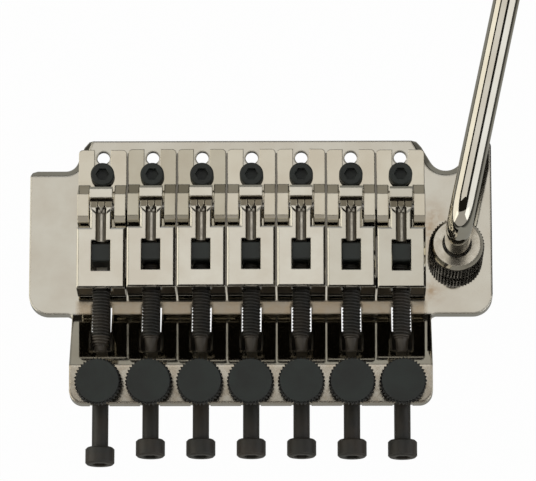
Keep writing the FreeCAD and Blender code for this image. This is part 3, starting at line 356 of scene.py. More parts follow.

# %% [markdown]
# The necks of the lock screws get a painted sheen in a lighter brown than their threads, shade is painted on
# the arm where it goes down into its collar, and the collar's knurl is painted dark as shade, most in its
# grooves. These follow from a place along one axis, or from the distance to the collar's own axis.

# %% Masks for the lock screws, the arm and its collar
NECK_BACK, NECK_FRONT = -42.0 * MM, -38.1 * MM
ARM_MOUTH, ARM_CLEAN = 10.6 * MM, 14.0 * MM
# How dark the painted shade is at the collar's mouth.
ARM_SHADE = 0.9
COLLAR_X, COLLAR_Y = 43.95 * MM, -18.75 * MM
COLLAR_CREST = 5.92 * MM
COLLAR_RIM = 8.98 * MM
# How much of the painted shade the knurl's crests take.
CREST_SHADE = 0.6
COLLAR_LOW, COLLAR_HIGH = 2.0 * MM, 9.0 * MM
LOW_WEAR = 0.8


def screw_neck_sheen(bench, where):
    """Painted sheen: 1 on the waisted necks of the lock screws."""
    return within(parts_of(bench, where)[1], NECK_BACK, NECK_FRONT)


def arm_root_shade(bench, where):
    """Painted shade: nearly 1 down in the collar's mouth, fading to 0 a few millimetres above it."""
    return fade(parts_of(bench, where)[2], ARM_MOUTH, ARM_CLEAN, ARM_SHADE, 0.0)


def collar_knurl_shade(bench, where):
    """Painted shade: 1 in the grooves of the collar's knurl and less on its crests, below the rim."""
    x, y, z = parts_of(bench, where)
    side = x - COLLAR_X
    ahead = y - COLLAR_Y
    groove = side * side + ahead * ahead < COLLAR_CREST**2
    return (groove * (1 - CREST_SHADE) + CREST_SHADE) * (z < COLLAR_RIM)


def collar_wear(bench, where):
    """A little less than 1 at the foot of the collar, and 1 at its top."""
    return fade(parts_of(bench, where)[2], COLLAR_LOW, COLLAR_HIGH, LOW_WEAR, 1.0)


print("screw necks run from", NECK_BACK / MM, "to", NECK_FRONT / MM, "mm")

# %% [markdown]
# ### Polished dark nickel
# One function makes every nickel finish. A tone darkens the metal as a whole, and for two levers that
# darkening is painted shade. Then come the marks, each a mask with its colour: stains in brown specks, satin
# where the polish is worn, tarnish that is no longer quite metal, and painted shade over all of these. The
# tarnished strip behind the saddles also leans its normals, because on the real plate it is light, and a
# flat mirror there would show the dark backs of the saddles.

# %% Polished dark nickel
NICKEL_LIGHT = (0.72, 0.69, 0.61)
NICKEL_WARM = (0.66, 0.615, 0.53)
PLAIN_TONE = (1.0, 1.0, 1.0)
STAIN_BROWN = (0.42, 0.32, 0.22, 1.0)
CLOUD_SCALE, SPECK_SCALE = 130.0, 420.0
CLOUD_STOPS = ((0.35, 0.0), (0.68, 1.0))
SPECK_STOPS = ((0.4, 0.25), (0.62, 1.0))
GRAIN_STRETCH = (900.0, 90.0, 900.0)
GRAIN_RELIEF = 0.03
GRAIN_DULL, CLOUD_DULL, LEAST_DULL = 0.03, 0.02, 0.02
SATIN_SPECKS, SATIN_BROWN = 0.5, 0.5
TARNISH_SPECKS, TARNISH_BASE = 0.55, 0.4
TARNISH_DULL, TARNISH_MATT = 0.2, 0.4


def shade(colour, tone):
    """A colour times a tone for red, green and blue, as four numbers."""
    return [part * share for part, share in zip(colour, tone)] + [1.0]


def stain_share(bench, where, centre, stretch, reach):
    """From 1 at a stain's centre to 0 at its reach, with each axis stretched."""
    offset = bench.node("ShaderNodeVectorMath", {"operation": "SUBTRACT"}, {0: where, 1: centre})
    shaped = bench.node("ShaderNodeVectorMath", {"operation": "MULTIPLY"}, {0: offset, 1: stretch})
    far = bench.node("ShaderNodeVectorMath", {"operation": "LENGTH"}, {0: shaped}, "Value")
    return fade(far, 0.0, reach, 1.0, 0.0)


def polished_nickel(name, edge=EDGE_ROUND, tone=PLAIN_TONE, stains=(), dark=None, satin=None, tarnish=None):
    """Mirror-like nickel. Dark and tarnish are (mask, colour), and satin is (mask, colour, dullness); dark paints
    shade.
    """
    material, bench, shader = new_finish(name, Metallic=1.0)
    where = place(bench)
    clouds = ramp(bench, noise(bench, where, CLOUD_SCALE), *CLOUD_STOPS)
    specks = ramp(bench, noise(bench, where, SPECK_SCALE, detail=6.0, roughness=0.75), *SPECK_STOPS)
    grain = noise(bench, stretched(bench, where, GRAIN_STRETCH), scale=1.0, detail=2.0)
    colour = tint(bench, clouds, shade(NICKEL_LIGHT, tone), shade(NICKEL_WARM, tone))
    roughness = grain * GRAIN_DULL + clouds * CLOUD_DULL + LEAST_DULL
    normal = rounded(bench, edge, grain, GRAIN_RELIEF)
    for stain in stains:
        colour = tint(bench, stain_share(bench, where, *stain) * specks, colour, STAIN_BROWN)
    if satin:
        mask, brown, dull = satin
        wear_and_sheen = mask(bench, where)
        colour = tint(bench, wear_and_sheen * specks * SATIN_BROWN, colour, brown)
        roughness = roughness + wear_and_sheen * (specks * SATIN_SPECKS + (1 - SATIN_SPECKS)) * dull
    if tarnish:
        mask, tan = tarnish
        film = mask(bench, where)
        colour = tint(bench, film * (specks * TARNISH_SPECKS + TARNISH_BASE), colour, tan)
        roughness = roughness + film * TARNISH_DULL
        normal = strip_slope(bench, where, normal)
        feed(bench, shader, Metallic=film * -TARNISH_MATT + 1.0)
    if dark:
        mask, black = dark
        colour = tint(bench, mask(bench, where), colour, black)
    feed(bench, shader, Base_Color=colour, Roughness=roughness, Normal=normal)
    return material


print("nickel between", NICKEL_LIGHT, "and", NICKEL_WARM)

# %% [markdown]
# All the nickel pieces are one metal, yet on the real bridge they don't look alike. The plate is duller
# than the levers, two of the feet are darker than their neighbours, and the collar is browner. Two of the
# levers are darkened too, as painted shade where the light falls off towards the right. So each kind of
# piece has the finish with a tone and masks of its own.

# %% Nickel for each kind of piece
PLATE_EDGE, SADDLE_EDGE = 0.7 * MM, 0.3 * MM
PLATE_TONE = (0.88, 0.88, 0.88)
FOOT_TONE = (0.94, 0.92, 0.88)
DULL_FOOT_TONE = (0.76, 0.74, 0.685)
DULL_FEET = (2, 3)
# Levers 6 and 7 are painted darker, as shade where the light falls off on the right.
LEVER_SHADE_TONES = {6: (0.91, 0.91, 0.9), 7: (0.86, 0.86, 0.85)}
# Dark colours for painted shade in holes, gaps, recesses and rear faces.
DEEP_SHADE_DARK = (0.05, 0.045, 0.04, 1.0)
SHADE_DARK = (0.09, 0.08, 0.066, 1.0)
CHANNEL_TAN = (0.4, 0.36, 0.3, 1.0)
TARNISH_TAN = (0.58, 0.46, 0.315, 1.0)
BAR_BROWN = (0.56, 0.45, 0.32, 1.0)
COLLAR_BROWN = (0.4, 0.34, 0.26, 1.0)
CHANNEL_DULL, BAR_DULL, COLLAR_DULL = 0.4, 0.12, 0.16
ARM_STAIN = ((0.0388, -0.0138, 0.0015), (1.0, 0.6, 1.0), 5.0 * MM)
CORNER_STAIN = ((0.0385, -0.027, 0.0015), (1.0, 1.0, 1.0), 4.0 * MM)


def foot_nickel(name, tone):
    """Nickel for a foot, with shade painted dark on the walls that face another saddle."""
    return polished_nickel(name, SADDLE_EDGE, tone, dark=(saddle_gap_shade, SHADE_DARK))


def lever_nickel(name, tone):
    """Nickel for a lever, satin in its string channel, with shade painted dark on its steep and rear faces."""
    satin = (channel_floors, CHANNEL_TAN, CHANNEL_DULL)
    return polished_nickel(name, SADDLE_EDGE, tone, dark=(lever_shade, SHADE_DARK), satin=satin)


plate_finish = polished_nickel(
    "plate_nickel", PLATE_EDGE, PLATE_TONE, (ARM_STAIN, CORNER_STAIN), dark=(plate_shade, DEEP_SHADE_DARK),
    satin=(tuner_bar, BAR_BROWN, BAR_DULL), tarnish=(saddle_strip, TARNISH_TAN),
)
foot_finish = foot_nickel("foot_nickel", FOOT_TONE)
dull_foot_finish = foot_nickel("foot_nickel_dull", DULL_FOOT_TONE)
lever_finish = lever_nickel("lever_nickel", PLAIN_TONE)
shaded_lever_finishes = {n: lever_nickel(f"lever_nickel_{n}", tone) for n, tone in LEVER_SHADE_TONES.items()}
arm_finish = polished_nickel("arm_nickel", dark=(arm_root_shade, SHADE_DARK))
collar_finish = polished_nickel(
    "collar_nickel", dark=(collar_knurl_shade, DEEP_SHADE_DARK), satin=(collar_wear, COLLAR_BROWN, COLLAR_DULL)
)
print("the plate's tree has", len(plate_finish.node_tree.nodes), "nodes")

# %% [markdown]
# ### Blackened steel
# The screws and thumb wheels are blackened steel. It is dark but not matt: a soft sheen follows the
# light, in slightly browner and greyer patches. The black layer isn't bare metal, so the shader isn't
# metallic here: patches shift the colour, and a fine grit breaks up the sheen.

# %% Blackened steel
PATCH_SCALE, GRIT_SCALE = 160.0, 2400.0
PATCH_STOPS = ((0.4, 0.0), (0.65, 1.0))
GRIT_DULL, GRIT_RELIEF = 0.16, 0.12
# A lighter brown for the painted sheen on the lock screws' necks.
NECK_SHEEN_BROWN = (0.1, 0.085, 0.068, 1.0)


def blackened(name, dark, brown, roughness, wear_and_sheen=None):
    """Dark steel between two colours, with an optional mask and the colour it shows, which paints a sheen on the
    lock screws' necks.
    """
    material, bench, shader = new_finish(name, Metallic=0.0, Specular_IOR_Level=0.45)
    where = place(bench)
    patches = ramp(bench, noise(bench, where, PATCH_SCALE), *PATCH_STOPS)
    grit = noise(bench, where, GRIT_SCALE, detail=2.0)
    colour = tint(bench, patches, dark, brown)
    if wear_and_sheen:
        mask, sheen_colour = wear_and_sheen
        colour = tint(bench, mask(bench, where), colour, sheen_colour)
    normal = rounded(bench, EDGE_ROUND, grit, GRIT_RELIEF)
    feed(bench, shader, Base_Color=colour, Roughness=grit * GRIT_DULL + roughness, Normal=normal)
    return material


screw_black = blackened(
    "black_screw", dark=(0.037, 0.036, 0.032, 1.0), brown=(0.053, 0.044, 0.035, 1.0), roughness=0.38,
    wear_and_sheen=(screw_neck_sheen, NECK_SHEEN_BROWN),
)
tuner_black = blackened(
    "black_tuner", dark=(0.035, 0.042, 0.039, 1.0), brown=(0.029, 0.032, 0.03, 1.0), roughness=0.46
)
# The wheels' teeth take a far darker copy of the tuners' steel: painted shade, since the teeth and their chamfer
# look black under this light.
knurl_shade_black = blackened(
    "black_knurl", dark=(0.007, 0.0075, 0.007, 1.0), brown=(0.01, 0.009, 0.008, 1.0), roughness=0.42
)
print("the lock screws' tree has", len(screw_black.node_tree.nodes), "nodes")

# %% [markdown]
# ### The hidden metals
# The rest is out of sight from above: turned steel on the pivot pins and under the wing, a dark spring
# comb, the satin block that hangs under the plate, and pale nylon round the arm. A lathe leaves fine
# rings, so the noise of these steels is squeezed along Z, into lines that run round an upright piece.

# %% Turned steel, spring steel, satin block and nylon
RING_STRETCH = (120.0, 120.0, 3000.0)
RING_DULL, RING_RELIEF = 0.15, 0.08
STEEL_CLOUD_SCALE, NYLON_CLOUD_SCALE = 140.0, 200.0
NYLON_PALE = (0.84, 0.82, 0.76, 1.0)
NYLON_DEEP = (0.76, 0.73, 0.66, 1.0)
NYLON_CLOUD_DULL, NYLON_DULL = 0.2, 0.35


def turned_steel(name, pale, dull, roughness):
    """Steel between two colours, with the fine rings of a lathe."""
    material, bench, shader = new_finish(name, Metallic=1.0)
    where = place(bench)
    lines = noise(bench, stretched(bench, where, RING_STRETCH), scale=1.0, detail=2.0)
    colour = tint(bench, noise(bench, where, STEEL_CLOUD_SCALE), pale, dull)
    normal = rounded(bench, EDGE_ROUND, lines, RING_RELIEF)
    feed(bench, shader, Base_Color=colour, Roughness=lines * RING_DULL + roughness, Normal=normal)
    return material


def nylon(name):
    """Slightly cloudy white nylon."""
    material, bench, shader = new_finish(name, Metallic=0.0, Specular_IOR_Level=0.4)
    clouds = noise(bench, place(bench), NYLON_CLOUD_SCALE)
    colour = tint(bench, clouds, NYLON_PALE, NYLON_DEEP)
    feed(bench, shader, Base_Color=colour, Roughness=clouds * NYLON_CLOUD_DULL + NYLON_DULL)
    return material


steel = turned_steel(
    "steel", pale=(0.55, 0.54, 0.52, 1.0), dull=(0.47, 0.46, 0.44, 1.0), roughness=0.22
)
spring = turned_steel(
    "spring_steel", pale=(0.17, 0.16, 0.15, 1.0), dull=(0.12, 0.11, 0.1, 1.0), roughness=0.3
)
block = turned_steel(
    "block_metal", pale=(0.58, 0.55, 0.5, 1.0), dull=(0.5, 0.47, 0.42, 1.0), roughness=0.28
)
sleeve_nylon = nylon("nylon")
print("a turned steel has", len(steel.node_tree.nodes), "nodes, nylon", len(sleeve_nylon.node_tree.nodes))

# %% [markdown]
# ### Dressing the solids
# The CAD record names a material for each solid. A solid that has a finish of its own takes that one, and
# any other takes the finish of its named material.

# %% Dress the solids
slot_finish = {
    "black_screw": screw_black, "black_tuner": tuner_black, "steel": steel, "spring_steel": spring,
    "block_metal": block, "nylon": sleeve_nylon,
}
own_finish = {
    "base_plate": plate_finish, "arm_collar": collar_finish, "arm_socket": collar_finish,
    "tremolo_arm": arm_finish, "intonation_screws": tuner_black,
}
for n in STRINGS:
    own_finish[f"saddle_foot_{n}"] = dull_foot_finish if n in DULL_FEET else foot_finish
    own_finish[f"saddle_lever_{n}"] = shaded_lever_finishes.get(n, lever_finish)
    own_finish[f"insert_block_{n}"] = tuner_black

used = set()
for part in frame["record"]["subparts"]:
    finish = own_finish.get(part["node"]) or slot_finish[part["material_slot"]]
    used.add(finish.name)
    for slot in nodes[part["node"]].material_slots:
        slot.material = finish

# %% [markdown]
# ## Slimmer cores for knurls and threads
# In the solids a thread is a plain cylinder as wide as the thread's crests. To cut real grooves, a copy
# of the solid is drawn in to the depth of the grooves, and the ridges are added on top. A turned piece
# is symmetric about its axis, so the axis can be found from the mesh itself.

# %% Copies with a drawn-in stretch
WELD = 0.002 * MM
SHARP_ANGLE = math.radians(30)


def merged_copy(node, name):
    """A welded copy of a solid's mesh, smooth but for its real edges."""
    mesh = bpy.data.meshes.new(name)
    shape = bmesh.new()
    shape.from_mesh(nodes[node].data)
    bmesh.ops.remove_doubles(shape, verts=shape.verts, dist=WELD)
    shape.to_mesh(mesh)
    shape.free()
    for layer in ("custom_normal", "sharp_edge", "sharp_face"):
        if layer in mesh.attributes:
            mesh.attributes.remove(mesh.attributes[layer])
    mesh.shade_smooth()
    mesh.set_sharp_from_angle(angle=SHARP_ANGLE)
    return mesh


def axis_of(mesh, along):
    """A matrix whose Z runs along a turned mesh's axis from its lowest end, and the mesh's length."""
    along = along.normalized()
    side = along.orthogonal().normalized()
    other = along.cross(side)
    middle = Vector((0.0, 0.0, 0.0))
    for direction in (side, other):
        reach = [vertex.co.dot(direction) for vertex in mesh.vertices]
        middle += direction * (min(reach) + max(reach)) / 2
    reach = [vertex.co.dot(along) for vertex in mesh.vertices]
    start = middle + along * min(reach)
    turn = Matrix((side, other, along)).transposed().to_4x4()
    return Matrix.Translation(start) @ turn, max(reach) - min(reach)


def draw_in(mesh, axis, low, high, radius):
    """Bring every point between two heights on the axis to at most a radius."""
    inverse = axis.inverted()
    for vertex in mesh.vertices:
        point = inverse @ vertex.co
        wide = math.hypot(point.x, point.y)
        if low <= point.z <= high and wide > radius:
            point.x *= radius / wide
            point.y *= radius / wide
            vertex.co = axis @ point


def add_piece(name, mesh, body, finish, replaced=None):
    """Put a finished mesh in the scene on its body, in place of a solid if one is named."""
    mesh.materials.clear()
    mesh.materials.append(finish)
    piece = bpy.data.objects.new(name, mesh)
    bpy.context.scene.collection.objects.link(piece)
    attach(piece, body)
    if replaced:
        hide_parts(replaced)


print("copies are welded at", WELD / MM, "mm")

# %% [markdown]
# ## Knurls
# The rims of the thumb wheels and of the arm's collar are knurled: straight ridges, all alike, round a
# circle. They could be modelled one by one, but a pattern is what Geometry Nodes are for: a ring of
# points, and one ridge on each, turned to face outwards.

# %% A tree for knurls
def new_tree(name, **kinds):
    """An empty Geometry Nodes tree with named inputs; returns its bench and the inputs' wires."""
    tree = bpy.data.node_groups.new(name, "GeometryNodeTree")
    for label, kind in kinds.items():
        tree.interface.new_socket(label, in_out="INPUT", socket_type=f"NodeSocket{kind}")
    tree.interface.new_socket("Geometry", in_out="OUTPUT", socket_type="NodeSocketGeometry")
    bench = Bench(tree)
    start = tree.nodes.new("NodeGroupInput")
    return bench, {label: Wire(bench, start.outputs[label]) for label in kinds}


def close_tree(bench, geometry, finish):
    """End a tree in plain mesh with one material."""
    real = bench.node("GeometryNodeRealizeInstances", inputs={"Geometry": geometry})
    dressed = bench.node("GeometryNodeSetMaterial", inputs={"Geometry": real, "Material": finish})
    end = bench.tree.nodes.new("NodeGroupOutput")
    bench.tree.links.new(dressed.socket, end.inputs["Geometry"])
    return bench.tree


def knurl_tree():
    """A ring of four-sided ridges, stretched to their rise, width and length."""
    bench, size = new_tree(
        "knurl_ridges", Ridges="Int", Radius="Float", Rise="Float", Width="Float", Length="Float",
        Finish="Material",
    )
    circle = {"Vertices": size["Ridges"], "Radius": size["Radius"]}
    ring = bench.node("GeometryNodeMeshCircle", inputs=circle)
    ridge = bench.node("GeometryNodeMeshCylinder", inputs={"Vertices": 4, "Radius": 1.0, "Depth": 1.0})
    x, y = parts_of(bench, bench.node("GeometryNodeInputPosition"))[:2]
    facing = bench.node("ShaderNodeCombineXYZ", inputs={"Z": y.maths("ARCTAN2", x)})
    stretch = {"X": size["Rise"], "Y": size["Width"] * 0.5, "Z": size["Length"]}
    scale = bench.node("ShaderNodeCombineXYZ", inputs=stretch)
    ridges = bench.node(
        "GeometryNodeInstanceOnPoints",
        inputs={"Points": ring, "Instance": ridge, "Rotation": facing, "Scale": scale},
    )
    return close_tree(bench, ridges, size["Finish"])


def grow(tree, **sizes):
    """Run a tree once with these sizes and return the plain mesh."""
    holder = bpy.data.objects.new("holder", bpy.data.meshes.new("holder"))
    bpy.context.scene.collection.objects.link(holder)
    modifier = holder.modifiers.new("grow", "NODES")
    modifier.node_group = tree
    for item in tree.interface.items_tree:
        if item.name in sizes:
            modifier[item.identifier] = sizes[item.name]
    graph = bpy.context.evaluated_depsgraph_get()
    mesh = bpy.data.meshes.new_from_object(holder.evaluated_get(graph), depsgraph=graph)
    bpy.data.objects.remove(holder)
    return mesh


knurls = knurl_tree()
print("knurl tree has", len(knurls.nodes), "nodes")

# %% [markdown]
# A fine tuner is a screw with a wide thumb wheel, leaning with the bar it passes through. The rim is too
# coarse to fake with a bump, because its teeth show against the white floor. One ring of ridges is grown
# once and copied to all seven wheels, each along the axis on which that tuner travels.

# %% Thumb wheels of the fine tuners
WHEEL_HEIGHT = 6.5 * MM
WHEEL_EDGE = 0.45 * MM
WHEEL_CORE = 4.5 * MM
WHEEL_RIDGES, WHEEL_RISE, WHEEL_RIDGE_WIDTH = 40, 0.45 * MM, 0.62 * MM
DRAW_SLACK = 0.1 * MM

wheel_ridges = grow(
    knurls, Ridges=WHEEL_RIDGES, Radius=WHEEL_CORE, Rise=WHEEL_RISE, Width=WHEEL_RIDGE_WIDTH,
    Length=WHEEL_HEIGHT - 2 * WHEEL_EDGE, Finish=knurl_shade_black,
)
for n in STRINGS:
    joint = next(j for j in frame["joints"] if j["name"] == f"tuner_{n}_travel")
    core = merged_copy(f"fine_tuner_{n}", f"thumb_screw_{n}")
    axis, length = axis_of(core, -Vector(joint["axis"]))
    draw_in(core, axis, length - WHEEL_HEIGHT - DRAW_SLACK, length + DRAW_SLACK, WHEEL_CORE)
    add_piece(f"thumb_screw_{n}", core, f"tuner_{n}", tuner_black, f"fine_tuner_{n}")
    ridges = wheel_ridges.copy()
    ridges.transform(axis @ Matrix.Translation((0.0, 0.0, length - WHEEL_HEIGHT / 2)))
    add_piece(f"thumb_knurl_{n}", ridges, f"tuner_{n}", knurl_shade_black)
print("thumb wheels:", len(wheel_ridges.polygons), "faces of knurl on each")

# %% [markdown]
# The collar that holds the arm has a finer knurl, which stops short of its smooth upper rim. The same
# tree grows it with other sizes.

# %% The arm's collar
COLLAR_CORE = 5.7 * MM
COLLAR_EDGE = 1.6 * MM
COLLAR_RIDGES, COLLAR_RISE, COLLAR_RIDGE_WIDTH = 52, 0.25 * MM, 0.5 * MM

collar = merged_copy("arm_collar", "collar")
axis, length = axis_of(collar, Vector((0.0, 0.0, 1.0)))
draw_in(collar, axis, -DRAW_SLACK, length + DRAW_SLACK, COLLAR_CORE)
add_piece("collar", collar, "collar", collar_finish, "arm_collar")
knurled = length - COLLAR_EDGE
collar_ridges = grow(
    knurls, Ridges=COLLAR_RIDGES, Radius=COLLAR_CORE, Rise=COLLAR_RISE, Width=COLLAR_RIDGE_WIDTH,
    Length=knurled, Finish=collar_finish,
)
collar_ridges.transform(axis @ Matrix.Translation((0.0, 0.0, knurled / 2)))
add_piece("collar_knurl", collar_ridges, "collar", collar_finish)
print("collar:", len(collar_ridges.polygons), "faces of knurl")

# %% [markdown]
# ## Screw threads
# A thread is a ridge wound along a helix. A bump in the finish would leave the screw's outline smooth, so
# the ridge is real. Geometry Nodes have the helix as a curve, and a diamond drawn along it becomes the
# ridge: its inner half is buried in the slim core, its outer half is the thread.

# %% A tree for threads
POINTS_PER_TURN = 28


def thread_tree():
    """A diamond drawn along a helix round Z."""
    bench, size = new_tree(
        "thread_ridge", Radius="Float", Pitch="Float", Turns="Float", Rise="Float", Width="Float",
        Finish="Material",
    )
    helix = bench.node(
        "GeometryNodeCurveSpiral",
        inputs={
            "Resolution": POINTS_PER_TURN, "Rotations": size["Turns"], "Start Radius": size["Radius"],
            "End Radius": size["Radius"], "Height": size["Turns"] * size["Pitch"],
        },
    )
    upright = bench.node("GeometryNodeSetCurveNormal", {"mode": "Z_UP"}, {"Curve": helix})
    half = size["Width"] * 0.5
    diamond = {"Width": size["Rise"] * 2.0, "Bottom Height": half, "Top Height": half}
    ridge = bench.node("GeometryNodeCurvePrimitiveQuadrilateral", {"mode": "KITE"}, diamond)
    sweep = {"Curve": upright, "Profile Curve": ridge, "Fill Caps": True}
    return close_tree(bench, bench.node("GeometryNodeCurveToMesh", inputs=sweep), size["Finish"])


threads = thread_tree()
print("thread tree has", len(threads.nodes), "nodes")

# %% [markdown]
# Each lock screw has its thread at the far end from its head. The thread starts where the waisted neck
# ends and stops just short of the tip, so the number of turns follows from the screw's length.

# %% Threads of the lock screws
THREAD_PITCH = 0.7 * MM
THREAD_CORE = 1.72 * MM
THREAD_RISE = 0.27 * MM
THREAD_WIDTH = 0.66 * MM
THREAD_LEAD = 0.8 * MM
HEAD_TO_THREAD = 26.2 * MM
NECK_SLACK, LEAD_OVERLAP = 0.01 * MM, 0.2 * MM

for n in STRINGS:
    core = merged_copy(f"lock_screw_{n}", f"lock_screw_core_{n}")
    axis, length = axis_of(core, Vector((0.0, 1.0, 0.0)))
    thread_end = length - THREAD_LEAD
    draw_in(core, axis, HEAD_TO_THREAD - NECK_SLACK, thread_end + LEAD_OVERLAP, THREAD_CORE)
    add_piece(f"lock_screw_core_{n}", core, f"lock_{n}", screw_black, f"lock_screw_{n}")
    ridge = grow(
        threads, Radius=THREAD_CORE, Pitch=THREAD_PITCH, Turns=(thread_end - HEAD_TO_THREAD) / THREAD_PITCH,
        Rise=THREAD_RISE, Width=THREAD_WIDTH, Finish=screw_black,
    )
    ridge.transform(axis @ Matrix.Translation((0.0, 0.0, HEAD_TO_THREAD)))
    add_piece(f"lock_thread_{n}", ridge, f"lock_{n}", screw_black)
print("lock screws:", len(ridge.polygons), "faces of thread on each")

# %% [markdown]
# ## A split spring comb
# Under the plate a comb of spring steel lifts the lock screws. Its solid is one stiff piece, so a lever
# that tips down would push its screw through a finger. Here the comb is split: the strip stays with the
# plate, and each finger is a bent leaf of its own. A narrow tail runs on inside the strip, so no gap
# opens when a saddle slides.

# %% The strip of the spring comb
COMB_EDGE = -28.39 * MM

strip = merged_copy("spring_comb", "spring_comb_strip")
shape = bmesh.new()
shape.from_mesh(strip)
bmesh.ops.bisect_plane(
    shape, geom=shape.verts[:] + shape.edges[:] + shape.faces[:], plane_co=(0, COMB_EDGE, 0),
    plane_no=(0, -1, 0), clear_outer=True,
)
bmesh.ops.holes_fill(shape, edges=[edge for edge in shape.edges if edge.is_boundary])
shape.to_mesh(strip)
shape.free()
add_piece("spring_comb_strip", strip, "bridge", spring, "spring_comb")
print("the strip ends at", COMB_EDGE / MM, "mm")

# %% [markdown]
# A leaf is a flat spring that widens to a paddle under its lock screw. It is drawn as rows of four
# corners from the strip to the tip, and the paddle has several rows.

# %% Seven leaves
LEAF_THICKNESS = 0.58 * MM
FLAT_TOP = -1.51 * MM
TAIL_HALF, FINGER_HALF, PADDLE_HALF = 0.65 * MM, 1.7 * MM, 3.5 * MM
TAIL_START, TAIL_END, FINGER_START = -25.2 * MM, -27.95 * MM, -28.0 * MM
BEND_Y, KNEE_Y, KNEE_TOP = -34.6 * MM, -35.4 * MM, -1.09 * MM
PADDLE_Y, PADDLE_TOP = -35.42 * MM, -1.08 * MM
PADDLE_RUN, PADDLE_CLIMB, PADDLE_STEPS = -10.19 * MM, 5.34 * MM, 8

leaf_rows = [
    (TAIL_START, FLAT_TOP, TAIL_HALF), (TAIL_END, FLAT_TOP, TAIL_HALF),
    (FINGER_START, FLAT_TOP, FINGER_HALF), (BEND_Y, FLAT_TOP, FINGER_HALF), (KNEE_Y, KNEE_TOP, FINGER_HALF),
]
for step in range(PADDLE_STEPS + 1):
    share = step / PADDLE_STEPS
    leaf_rows.append((PADDLE_Y + PADDLE_RUN * share, PADDLE_TOP + PADDLE_CLIMB * share, PADDLE_HALF))


def leaf_mesh(name, middle):
    """A leaf of even thickness through rows of (Y, height of the upper face, half the width)."""
    shape = bmesh.new()
    rings = []
    for y, top, half in leaf_rows:
        left, right, low = middle - half, middle + half, top - LEAF_THICKNESS
        corners = ((left, y, top), (right, y, top), (right, y, low), (left, y, low))
        rings.append([shape.verts.new(corner) for corner in corners])
    for first, second in zip(rings, rings[1:]):
        for k in range(4):
            shape.faces.new((first[k], first[k - 1], second[k - 1], second[k]))
    shape.faces.new(rings[0])
    shape.faces.new(reversed(rings[-1]))
    bmesh.ops.recalc_face_normals(shape, faces=shape.faces)
    mesh = bpy.data.meshes.new(name)
    shape.to_mesh(mesh)
    shape.free()
    mesh.materials.append(spring)
    return mesh


for n in STRINGS:
    middle = (n - MIDDLE_STRING) * PITCH
    leaf = bpy.data.objects.new(f"spring_finger_{n}", leaf_mesh(f"spring_finger_{n}", middle))
    bpy.context.scene.collection.objects.link(leaf)
    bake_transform(leaf)
print("the comb has", len(STRINGS), "leaves of", len(leaf_rows), "rows")

# %% [markdown]
# ## A floor and a tent of light
# Polished metal is lit by what it mirrors. The floor is white to the camera and takes a faint shadow. The
# metal sees the same floor as grey, and nearly black far out to the sides: in the photograph slopes and
# edges are dark, and a white floor all round would wash them out.

# %% Floor
FLOOR_GAP = 0.2 * MM
FLOOR_HALF = 12.0
CAMERA_SHARE, MIRROR_SHARE = 0.98, 0.95
WHITE = (1.0, 1.0, 1.0, 1.0)
NEAR_GREY = (0.28, 0.28, 0.26, 1.0)
FAR_GREY = (0.45, 0.44, 0.4, 1.0)
ASIDE_DARK = (0.04, 0.04, 0.035, 1.0)
ASIDE_SQUARED = (0.02, 0.06)
FAR_AHEAD = (0.3, 0.5)

floor_height = cad_box[0].z - FLOOR_GAP
corners = [(x * FLOOR_HALF, y * FLOOR_HALF, floor_height) for x, y in ((-1, -1), (1, -1), (1, 1), (-1, 1))]
floor_mesh = bpy.data.meshes.new("floor")
floor_mesh.from_pydata(corners, [], [(0, 1, 2, 3)])
floor = bpy.data.objects.new("floor", floor_mesh)
bpy.context.scene.collection.objects.link(floor)

floor_finish, bench, shader = new_finish("white_floor", Roughness=0.9, Base_Color=(0.9, 0.9, 0.9, 1.0))
camera_ray = bench.node("ShaderNodeLightPath", output="Is Camera Ray")
glossy_ray = bench.node("ShaderNodeLightPath", output="Is Glossy Ray")
clear_ray = bench.node("ShaderNodeLightPath", output="Is Transmission Ray")
seen = camera_ray * CAMERA_SHARE + glossy_ray * MIRROR_SHARE + clear_ray * MIRROR_SHARE
sideways, ahead = parts_of(bench, place(bench))[:2]
mirrored = tint(bench, fade(ahead, *FAR_AHEAD), NEAR_GREY, FAR_GREY)
mirrored = tint(bench, fade(sideways * sideways, *ASIDE_SQUARED), mirrored, ASIDE_DARK)
shown = tint(bench, glossy_ray, WHITE, mirrored)
glow = bench.node("ShaderNodeEmission", inputs={"Color": shown, "Strength": 1.0})
plain = Wire(bench, shader.outputs["BSDF"])
mixed = bench.node("ShaderNodeMixShader", inputs={0: seen, 1: plain, 2: glow})
bench.tree.links.new(mixed.socket, bench.tree.nodes["Material Output"].inputs["Surface"])
floor_mesh.materials.append(floor_finish)
print("floor at", round(floor_height / MM, 1), "mm")

# %% [markdown]
# Five soft panels stand round the bridge like a photographer's tent: overhead, in front, behind and one
# on each side, with dark gaps between them. Flat tops mirror the overhead panel and turn pale, slopes
# mirror the gaps and turn dark, and the round arm shows the panels as long stripes. A panel's direction,
# and its width or length, come from the arcs that it covers, in degrees from straight up.

# %% Panels
CENTRE = Vector((0.004, -0.015, 0.0))
TENT = 0.7
STRAIGHT = (0, 0)
ROOF_ARC, OVERHEAD_ARC = (-28, 16), (-7.1, 37)
FRONT_ARC, REAR_ARC = (39, 65), (-86, -40)
LEFT_ARC, RIGHT_ARC = (-92, -42), (34, 86)
REAR_WIDTH, LEFT_LENGTH, RIGHT_LENGTH = 1.9, 1.3, 1.0
RIGHT_SHIFT = -0.4
SOFT_WHITE, COOL_WHITE = (1.0, 0.985, 0.95), (0.96, 0.98, 1.0)
WARM_WHITE, CREAM = (1.0, 0.97, 0.92), (1.0, 0.97, 0.87)


def turned_to(back):
    """A turn whose Z axis points along a direction, with its X axis level."""
    side = Vector((0.0, 1.0, 0.0)).cross(back).normalized()
    return Matrix((side, back.cross(side), back)).transposed().to_4x4()


